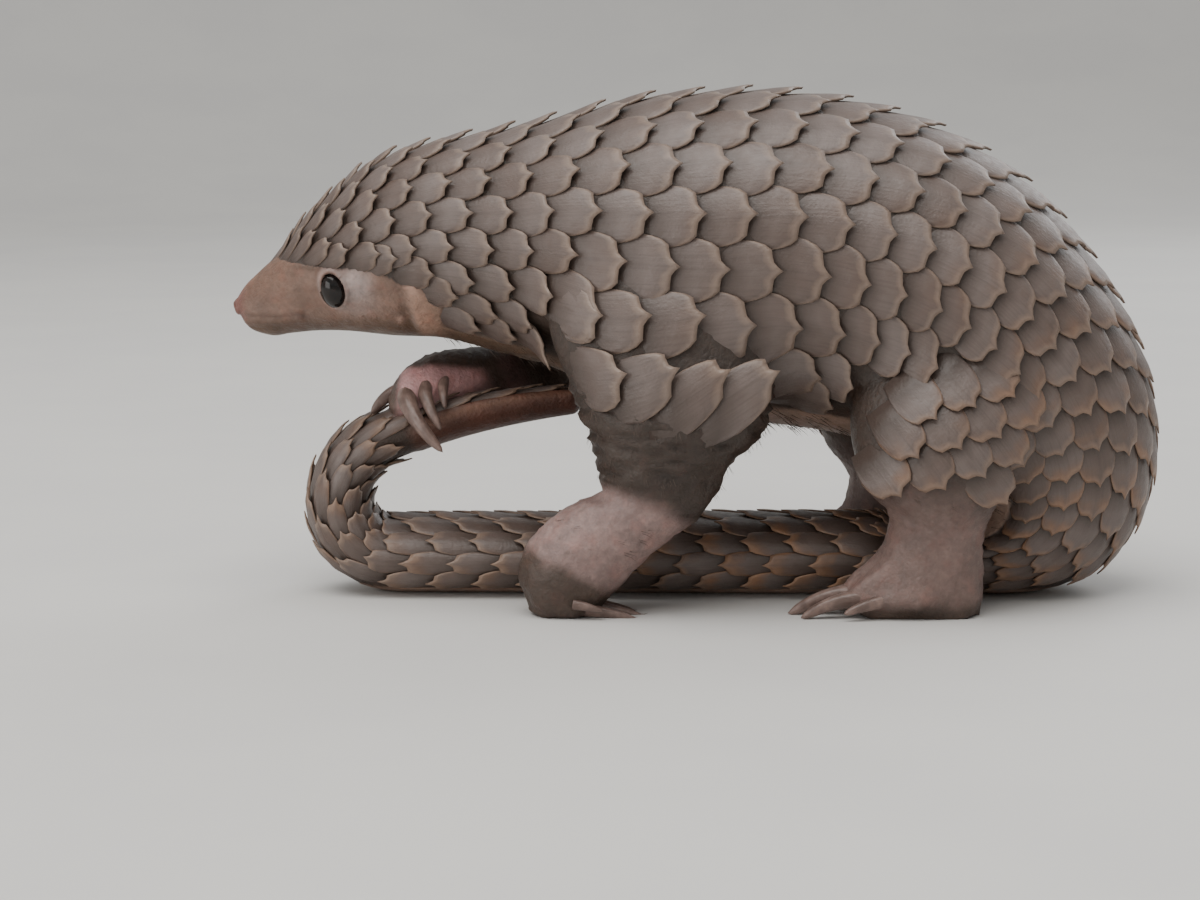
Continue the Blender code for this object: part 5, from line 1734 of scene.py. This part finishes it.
def tuft_mesh():
    """A few hairs of unit length that bend apart, with a strip of the map "hair" for each."""
    points = []
    faces = []
    spots = []
    for hair in range(HAIRS_IN_TUFT):
        angle = 2 * math.pi * hair / HAIRS_IN_TUFT
        out = Vector((math.cos(angle), math.sin(angle), 0.0))
        first = len(points)
        for height, thick, _ in HAIR_RINGS:
            centre = out * (HAIR_SPREAD * (HAIR_APART + HAIR_BEND * height))
            centre = centre + Vector((0, 0, height))
            for side in range(HAIR_SIDES):
                turned = 2 * math.pi * side / HAIR_SIDES
                points.append(centre + Vector((math.cos(turned), math.sin(turned), 0.0))
                              * HAIR_RADIUS / 2 * thick)
        tip = first + 2 * HAIR_SIDES
        points.append(out * HAIR_SPREAD * (HAIR_APART + 2 * HAIR_BEND) + Vector((0, 0, 1.0)))
        left = hair / HAIRS_IN_TUFT
        width = 1.0 / HAIRS_IN_TUFT / HAIR_SIDES
        low, high = [ring[2] for ring in HAIR_RINGS]
        for side in range(HAIR_SIDES):
            after = (side + 1) % HAIR_SIDES
            near, far = left + width * side, left + width * (side + 1)
            above, above_after = first + HAIR_SIDES + side, first + HAIR_SIDES + after
            faces.append((first + side, first + after, above_after, above))
            spots += [(near, low), (far, low), (far, high), (near, high)]
            faces.append((above, above_after, tip))
            spots += [(near, high), (far, high), ((near + far) / 2, HAIR_POINT)]
        faces.append(tuple(range(first + HAIR_SIDES - 1, first - 1, -1)))
        spots += [(left, 0.0), (left + width, 0.0), (left, HAIR_ROOT)]
    data = bpy.data.meshes.new("tuft")
    data.from_pydata(points, [], faces)
    layer = data.uv_layers.new(name="hair")
    layer.data.foreach_set("uv", np.array(spots, float).ravel())
    piece = bpy.data.objects.new("tuft", data)
    bpy.context.scene.collection.objects.link(piece)
    return piece


def hair_ground(name):
    """A copy of the skin with the share, length and flow of the tufts at each of its points."""
    ground = bpy.data.objects.new(name, skin.data.copy())
    bpy.context.scene.collection.objects.link(ground)
    tones = tones_of(ground)[:, :3]
    shares = np.zeros(len(tones))
    lengths = np.zeros(len(tones))
    flows = np.zeros((len(tones), 3))
    for colour, reach, share, length, flow in HAIR_GROWS:
        near = 1 - ramp(np.linalg.norm(tones - np.array(colour), axis=1), 0.4 * reach, reach)
        grows = near * share > shares
        shares[grows] = near[grows] * share
        lengths[grows] = length
        flows[grows] = flow
    places = np.zeros(len(tones) * 3)
    ground.data.vertices.foreach_get("co", places)
    shares[places[2::3] < HAIR_LOWEST * MM] = 0.0
    for key, kind, field, values in (("tufts", "FLOAT", "value", shares),
                                     ("tuft_length", "FLOAT", "value", lengths),
                                     ("flow", "FLOAT_VECTOR", "vector", flows)):
        item = ground.data.attributes.new(key, kind, "POINT")
        item.data.foreach_set(field, values.ravel())
    return ground


def hair_tree():
    """Scatter tufts over the skin, turn them along its flow, and unwrap each at its root."""
    tree = bpy.data.node_groups.new("grow_hair", "GeometryNodeTree")
    tree_inputs(tree, Skin="Geometry", Tuft="Object", Density="Float", Seed="Int",
                Patch="Float", Finish="Material")
    tree.interface.new_socket(name="Hair", in_out="OUTPUT", socket_type="NodeSocketGeometry")
    given = node(tree, "NodeGroupInput").outputs
    tuft = node(tree, "GeometryNodeObjectInfo")
    tree.links.new(given["Tuft"], tuft.inputs["Object"])
    scatter = node(tree, "GeometryNodeDistributePointsOnFaces", distribute_method="RANDOM")
    tree.links.new(given["Skin"], scatter.inputs["Mesh"])
    density = maths(tree, "MULTIPLY", named(tree, "tufts"), given["Density"])
    tree.links.new(density, scatter.inputs["Density"])
    tree.links.new(given["Seed"], scatter.inputs["Seed"])
    rooted = node(tree, "GeometryNodeStoreNamedAttribute", data_type="FLOAT_VECTOR",
                  domain="POINT")
    rooted.inputs["Name"].default_value = "root_place"
    tree.links.new(scatter.outputs["Points"], rooted.inputs["Geometry"])
    tree.links.new(named(tree, "OFBake", "FLOAT_VECTOR"), rooted.inputs["Value"])
    heading = vector_maths(tree, "ADD", scatter.outputs["Normal"],
                           named(tree, "flow", "FLOAT_VECTOR"))
    turned = node(tree, "FunctionNodeAlignRotationToVector", axis="Z")
    tree.links.new(heading, turned.inputs["Vector"])
    chance_of = node(tree, "FunctionNodeRandomValue", data_type="FLOAT")
    chance_of.inputs["Min"].default_value = TUFT_SIZES[0] * MM
    chance_of.inputs["Max"].default_value = TUFT_SIZES[1] * MM
    size = maths(tree, "MULTIPLY", named(tree, "tuft_length"), chance_of.outputs["Value"])
    setter = node(tree, "GeometryNodeInstanceOnPoints")
    tree.links.new(rooted.outputs["Geometry"], setter.inputs["Points"])
    tree.links.new(tuft.outputs["Geometry"], setter.inputs["Instance"])
    tree.links.new(turned.outputs["Rotation"], setter.inputs["Rotation"])
    tree.links.new(size, setter.inputs["Scale"])
    real = node(tree, "GeometryNodeRealizeInstances")
    tree.links.new(setter.outputs[0], real.inputs[0])
    patch = vector_maths(tree, "SCALE", named(tree, "hair", "FLOAT_VECTOR"), given["Patch"])
    unwrap = node(tree, "GeometryNodeStoreNamedAttribute", data_type="FLOAT2", domain="CORNER")
    unwrap.inputs["Name"].default_value = "OFBake"
    tree.links.new(real.outputs[0], unwrap.inputs["Geometry"])
    tree.links.new(vector_maths(tree, "ADD", named(tree, "root_place", "FLOAT_VECTOR"), patch),
                   unwrap.inputs["Value"])
    paint = node(tree, "GeometryNodeSetMaterial")
    tree.links.new(unwrap.outputs[0], paint.inputs["Geometry"])
    tree.links.new(given["Finish"], paint.inputs["Material"])
    tree.links.new(paint.outputs[0], node(tree, "NodeGroupOutput").inputs[0])
    return tree


def hair_finish():
    """Stiff brown hair, darker in places."""
    finish, tree, shader = new_finish("stiff_hair")
    where = node(tree, "ShaderNodeTexCoord").outputs["Object"]
    shade = spread(tree, shader_noise(tree, where, 1.2), 0.35, 0.65)
    tree.links.new(tinted(tree, shade, HAIR_DARK, HAIR_LIGHT), shader.inputs["Base Color"])
    shader.inputs["Roughness"].default_value = 0.6
    return finish


tuft = tuft_mesh()
hair_settings = {"Tuft": tuft, "Density": TUFTS_PER_MM2 / MM**2, "Seed": TUFT_SEED,
                 "Patch": TUFT_PATCH, "Finish": hair_finish()}
hair = grown(hair_ground("hair"), hair_tree(), hair_settings, "hair")
bpy.data.objects.remove(tuft)
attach(hair, "root")

# The claws are long, curved and laterally flattened horn, with three great middle ones on each
# foot. The ones of the left forefoot lie folded back under its wrist, as it walks on its edge.
CLAW_DEPTH = 1.4
CLAW_TAPER = 0.62
CLAW_TAPER_POWER = 1.4
CLAW_HEIGHT = 1.1
CLAW_WIDTH = 0.85
CLAW_POINT_START, CLAW_POINT_LENGTH = 0.8, 0.2
CLAW_KEEL = 0.28
CLAW_SIDES = 18
CLAW_RINGS = 22
CLAW_TIP_LOWEST = 0.2
CLAW_STRIP = (0.02, 0.02, 0.17, 0.9)
CLAW_STRIP_STEP = 0.19
# Root, direction, bend, length and radius of each, thumb first.
FOREFOOT_CLAWS = [
    ((-18.2, -15.7, 2.2), (1.0, 0.1, -0.15), (0.0, 0.0, -0.2), 3.6, 0.85),
    ((-18.6, -17.5, 1.5), (1.0, 0.0, -0.05), (0.0, 0.0, -0.25), 9.0, 1.15),
    ((-19.4, -20.3, 1.6), (1.0, 0.0, -0.05), (0.0, 0.0, -0.25), 11.4, 1.35),
    ((-18.6, -23.1, 1.5), (1.0, 0.0, -0.05), (0.0, 0.0, -0.25), 9.0, 1.15),
    ((-18.2, -24.9, 2.3), (1.0, -0.1, -0.15), (0.0, 0.0, -0.2), 3.6, 0.85),
]
GRIPPING_CLAWS = [
    ((-39.4, -1.8, 33.0), (-0.1, -1.0, 0.1), (0.3, 0.1, -1.3), 6.4, 1.2),
    ((-42.4, -3.6, 32.6), (-0.3, -1.0, 0.1), (1.2, 0.15, -1.8), 9.2, 1.5),
    ((-45.2, -4.8, 31.6), (-0.45, -0.95, 0.0), (2.0, 0.2, -1.8), 12.6, 1.8),
    ((-46.2, -1.2, 31.6), (-1.0, -0.25, 0.1), (0.2, 0.0, -1.3), 5.8, 1.4),
    ((-46.0, 3.4, 31.4), (-1.0, 0.15, 0.1), (0.2, 0.0, -1.2), 4.8, 1.15),
]
HIND_CLAWS = [
    ((24.8, -16.2, 2.8), (-1.0, 0.25, -0.1), (0.0, 0.0, -0.35), 5.0, 1.15),
    ((22.0, -17.6, 3.2), (-1.0, 0.08, 0.1), (0.0, 0.0, -0.75), 8.6, 1.5),
    ((21.4, -20.6, 3.5), (-1.0, 0.0, 0.12), (0.0, 0.0, -0.8), 9.8, 1.65),
    ((22.0, -23.6, 3.2), (-1.0, -0.08, 0.1), (0.0, 0.0, -0.75), 8.6, 1.5),
    ((24.8, -25.3, 2.8), (-1.0, -0.25, -0.1), (0.0, 0.0, -0.35), 5.0, 1.15),
]
CLAW_HORN = (0.115, 0.075, 0.062)
CLAW_PALE = (0.300, 0.205, 0.175)
CLAW_GRAIN_SCALE = 40.0
CLAW_GRAIN_STRETCH = (4.0, 0.25, 1.0)


def claw_rings(root, direction, bend, length, radius):
    """Rings of points along a curved, tapering claw, and the points that close its ends."""
    direction, bend = Vector(direction).normalized(), Vector(bend)
    across = direction.cross(bend).normalized()
    place = Vector(root) - direction * radius * CLAW_DEPTH
    heading = direction.copy()
    step = (length + radius * CLAW_DEPTH) / CLAW_RINGS
    start = place.copy()
    rings = []
    for ring in range(CLAW_RINGS):
        share = ring / CLAW_RINGS
        size = radius * (1 - CLAW_TAPER * share**CLAW_TAPER_POWER)
        if share > CLAW_POINT_START:
            nearly = (share - CLAW_POINT_START) / CLAW_POINT_LENGTH
            size *= math.sqrt(max(0.04, 1 - nearly**2))
        up = across.cross(heading).normalized()
        circle = []
        for side in range(CLAW_SIDES):
            angle = 2 * math.pi * side / CLAW_SIDES
            keel = 1.0 - CLAW_KEEL * max(0.0, -math.cos(angle))
            corner = place + up * (math.cos(angle) * size * CLAW_HEIGHT * keel)
            corner = corner + across * (math.sin(angle) * size * CLAW_WIDTH)
            circle.append((corner.x, corner.y, max(corner.z, 0.0)))
        rings.append(circle)
        heading = (heading + bend / CLAW_RINGS).normalized()
        place = place + heading * step
    return np.array(rings), np.array([start, (place.x, place.y, max(place.z, CLAW_TIP_LOWEST))])


def claw_piece(name, claws):
    """All claws of one foot, side by side on their unwrap."""
    points = []
    faces = []
    unwrap = []
    left, bottom, width, height = CLAW_STRIP
    for number, claw in enumerate(claws):
        rings, tips = claw_rings(*claw)
        strip = (left + number * CLAW_STRIP_STEP, bottom, width, height)
        new_points, new_faces, new_unwrap, _ = skin_rings(rings, np.zeros(rings.shape), tips,
                                                          strip)
        faces += [tuple(index + len(points) for index in ring) for ring in new_faces]
        points += list(new_points)
        unwrap += new_unwrap
    piece = make_mesh(name, points, faces, unwrap)
    turn_outward(piece)
    piece.data.shade_smooth()
    return piece


def claw_finish():
    """Smooth horn, paler in places, with faint lines along each claw."""
    finish, tree, shader = new_finish("claw_horn")
    where = node(tree, "ShaderNodeTexCoord").outputs["Object"]
    length_map = node(tree, "ShaderNodeUVMap", uv_map="OFBake")
    grain = node(tree, "ShaderNodeTexNoise")
    grain.inputs["Scale"].default_value = CLAW_GRAIN_SCALE
    grain.inputs["Detail"].default_value = 4.0
    squeeze = node(tree, "ShaderNodeMapping")
    squeeze.inputs["Scale"].default_value = CLAW_GRAIN_STRETCH
    tree.links.new(length_map.outputs[0], squeeze.inputs["Vector"])
    tree.links.new(squeeze.outputs[0], grain.inputs["Vector"])
    pale = spread(tree, shader_noise(tree, where, 2.4), 0.42, 0.68, 0.0, 0.75)
    colour = tinted(tree, pale, CLAW_HORN, CLAW_PALE)
    lines = spread(tree, grain.outputs["Fac"], 0.4, 0.7, 0.0, 0.4)
    colour = tinted(tree, lines, colour, CLAW_HORN)
    tree.links.new(colour, shader.inputs["Base Color"])
    shader.inputs["Roughness"].default_value = 0.32
    tree.links.new(relief_of(tree, grain.outputs["Fac"], 0.06), shader.inputs["Normal"])
    return finish


def mirrored(claw):
    """A claw of the left hind foot on the right one."""
    (x, y, z), (ahead, out, up), bend, length, radius = claw
    return (x + HIND_RIGHT_SHIFT, -y, z), (ahead, -out, up), bend, length, radius


claw_horn = claw_finish()
for foot, claws in (("forefoot_left", FOREFOOT_CLAWS), ("forefoot_right", GRIPPING_CLAWS),
                    ("hind_foot_left", HIND_CLAWS),
                    ("hind_foot_right", [mirrored(claw) for claw in HIND_CLAWS])):
    piece = claw_piece("claws_" + foot, claws)
    piece.data.materials.append(claw_horn)
    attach(piece, "root")
    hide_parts(*["claw_" + foot + "_" + str(number + 1) for number in range(len(claws))])

# The model stands on a pale, matt studio floor that sweeps up far behind it. Soft lamps above, in
# front and behind light it, and the camera looks at its left side from just above the floor.
FLOOR_SIDES = 96
FLOOR_FLAT = 900.0
FLOOR_RISE = 600.0
# Radius and height of each ring of the floor.
FLOOR_SWEEP = [(FLOOR_FLAT * share, 0.0) for share in (0.25, 0.5, 0.75, 1.0)]
FLOOR_SWEEP += [(FLOOR_FLAT + FLOOR_RISE * math.sin(math.radians(angle)),
                 FLOOR_RISE * (1 - math.cos(math.radians(angle)))) for angle in range(5, 80, 5)]
FLOOR_PALE = (0.62, 0.61, 0.59)
FLOOR_SHADED = (0.60, 0.59, 0.575)
SKY_GREY = (0.80, 0.80, 0.79, 1.0)
SKY_STRENGTH = 0.7
LIGHT_TARGET = (0.0, 0.0, 0.04)
# Name, place in metres, side in metres, watts and colour of each lamp.
LAMPS = [
    ("light_above", (-0.15, -0.2, 0.8), 0.8, 8.0, (1.0, 0.98, 0.95)),
    ("light_front", (-0.7, -0.6, 0.14), 0.6, 3.6, (1.0, 0.98, 0.96)),
    ("light_back", (0.5, 0.6, 0.5), 0.6, 3.0, (0.96, 0.98, 1.0)),
]
CAMERA_TARGET = (-15.4, 0.0, 21.7)
CAMERA_ELEVATION = math.radians(8.0)
CAMERA_DISTANCE = 454.0
CAMERA_VIEW = math.radians(23.0)


def floor_finish():
    """Matt pale grey with the faintest clouds."""
    finish, tree, shader = new_finish("studio_floor")
    where = node(tree, "ShaderNodeTexCoord").outputs["Object"]
    cloud = shader_noise(tree, where, 60.0, 3.0)
    colour = tinted(tree, spread(tree, cloud, 0.4, 0.6), FLOOR_PALE, FLOOR_SHADED)
    tree.links.new(colour, shader.inputs["Base Color"])
    shader.inputs["Roughness"].default_value = 0.7
    return finish


def studio_light(name, place, size, power, colour):
    """A square lamp that faces the animal."""
    lamp = bpy.data.lights.new(name, "AREA")
    lamp.size = size
    lamp.energy = power
    lamp.color = colour
    item = bpy.data.objects.new(name, lamp)
    item.location = place
    aim = Vector(LIGHT_TARGET) - Vector(place)
    item.rotation_euler = aim.to_track_quat("-Z", "Y").to_euler()
    bpy.context.scene.collection.objects.link(item)


def floor_bowl():
    """A round floor, flat under the animal, that sweeps up at its edge."""
    points = [(0.0, 0.0, 0.0)]
    faces = []
    for ring, (radius, height) in enumerate(FLOOR_SWEEP):
        first = len(points)
        for side in range(FLOOR_SIDES):
            angle = 2 * math.pi * side / FLOOR_SIDES
            points.append((radius * math.cos(angle), radius * math.sin(angle), height))
        for side in range(FLOOR_SIDES):
            after = (side + 1) % FLOOR_SIDES
            if ring == 0:
                faces.append((0, first + side, first + after))
                continue
            before = first - FLOOR_SIDES
            faces.append((before + side, first + side, first + after, before + after))
    piece = make_mesh("studio_floor", points, faces)
    piece.data.shade_smooth()
    return piece


floor = floor_bowl()
floor.data.materials.append(floor_finish())

for lamp in LAMPS:
    studio_light(*lamp)

sky = bpy.data.worlds.new("studio")
bpy.context.scene.world = sky
sky.use_nodes = True
glow = sky.node_tree.nodes["Background"]
glow.inputs["Color"].default_value = SKY_GREY
glow.inputs["Strength"].default_value = SKY_STRENGTH

view = bpy.data.cameras.new("camera")
view.sensor_fit = "HORIZONTAL"
view.angle = CAMERA_VIEW
view.clip_start = 0.01
camera = bpy.data.objects.new("camera", view)
target = Vector(CAMERA_TARGET)
away = Vector((0.0, -math.cos(CAMERA_ELEVATION), math.sin(CAMERA_ELEVATION)))
camera.location = (target + away * CAMERA_DISTANCE) * MM
camera.rotation_euler = (-away).to_track_quat("-Z", "Y").to_euler()
bpy.context.scene.collection.objects.link(camera)
bpy.context.scene.camera = camera
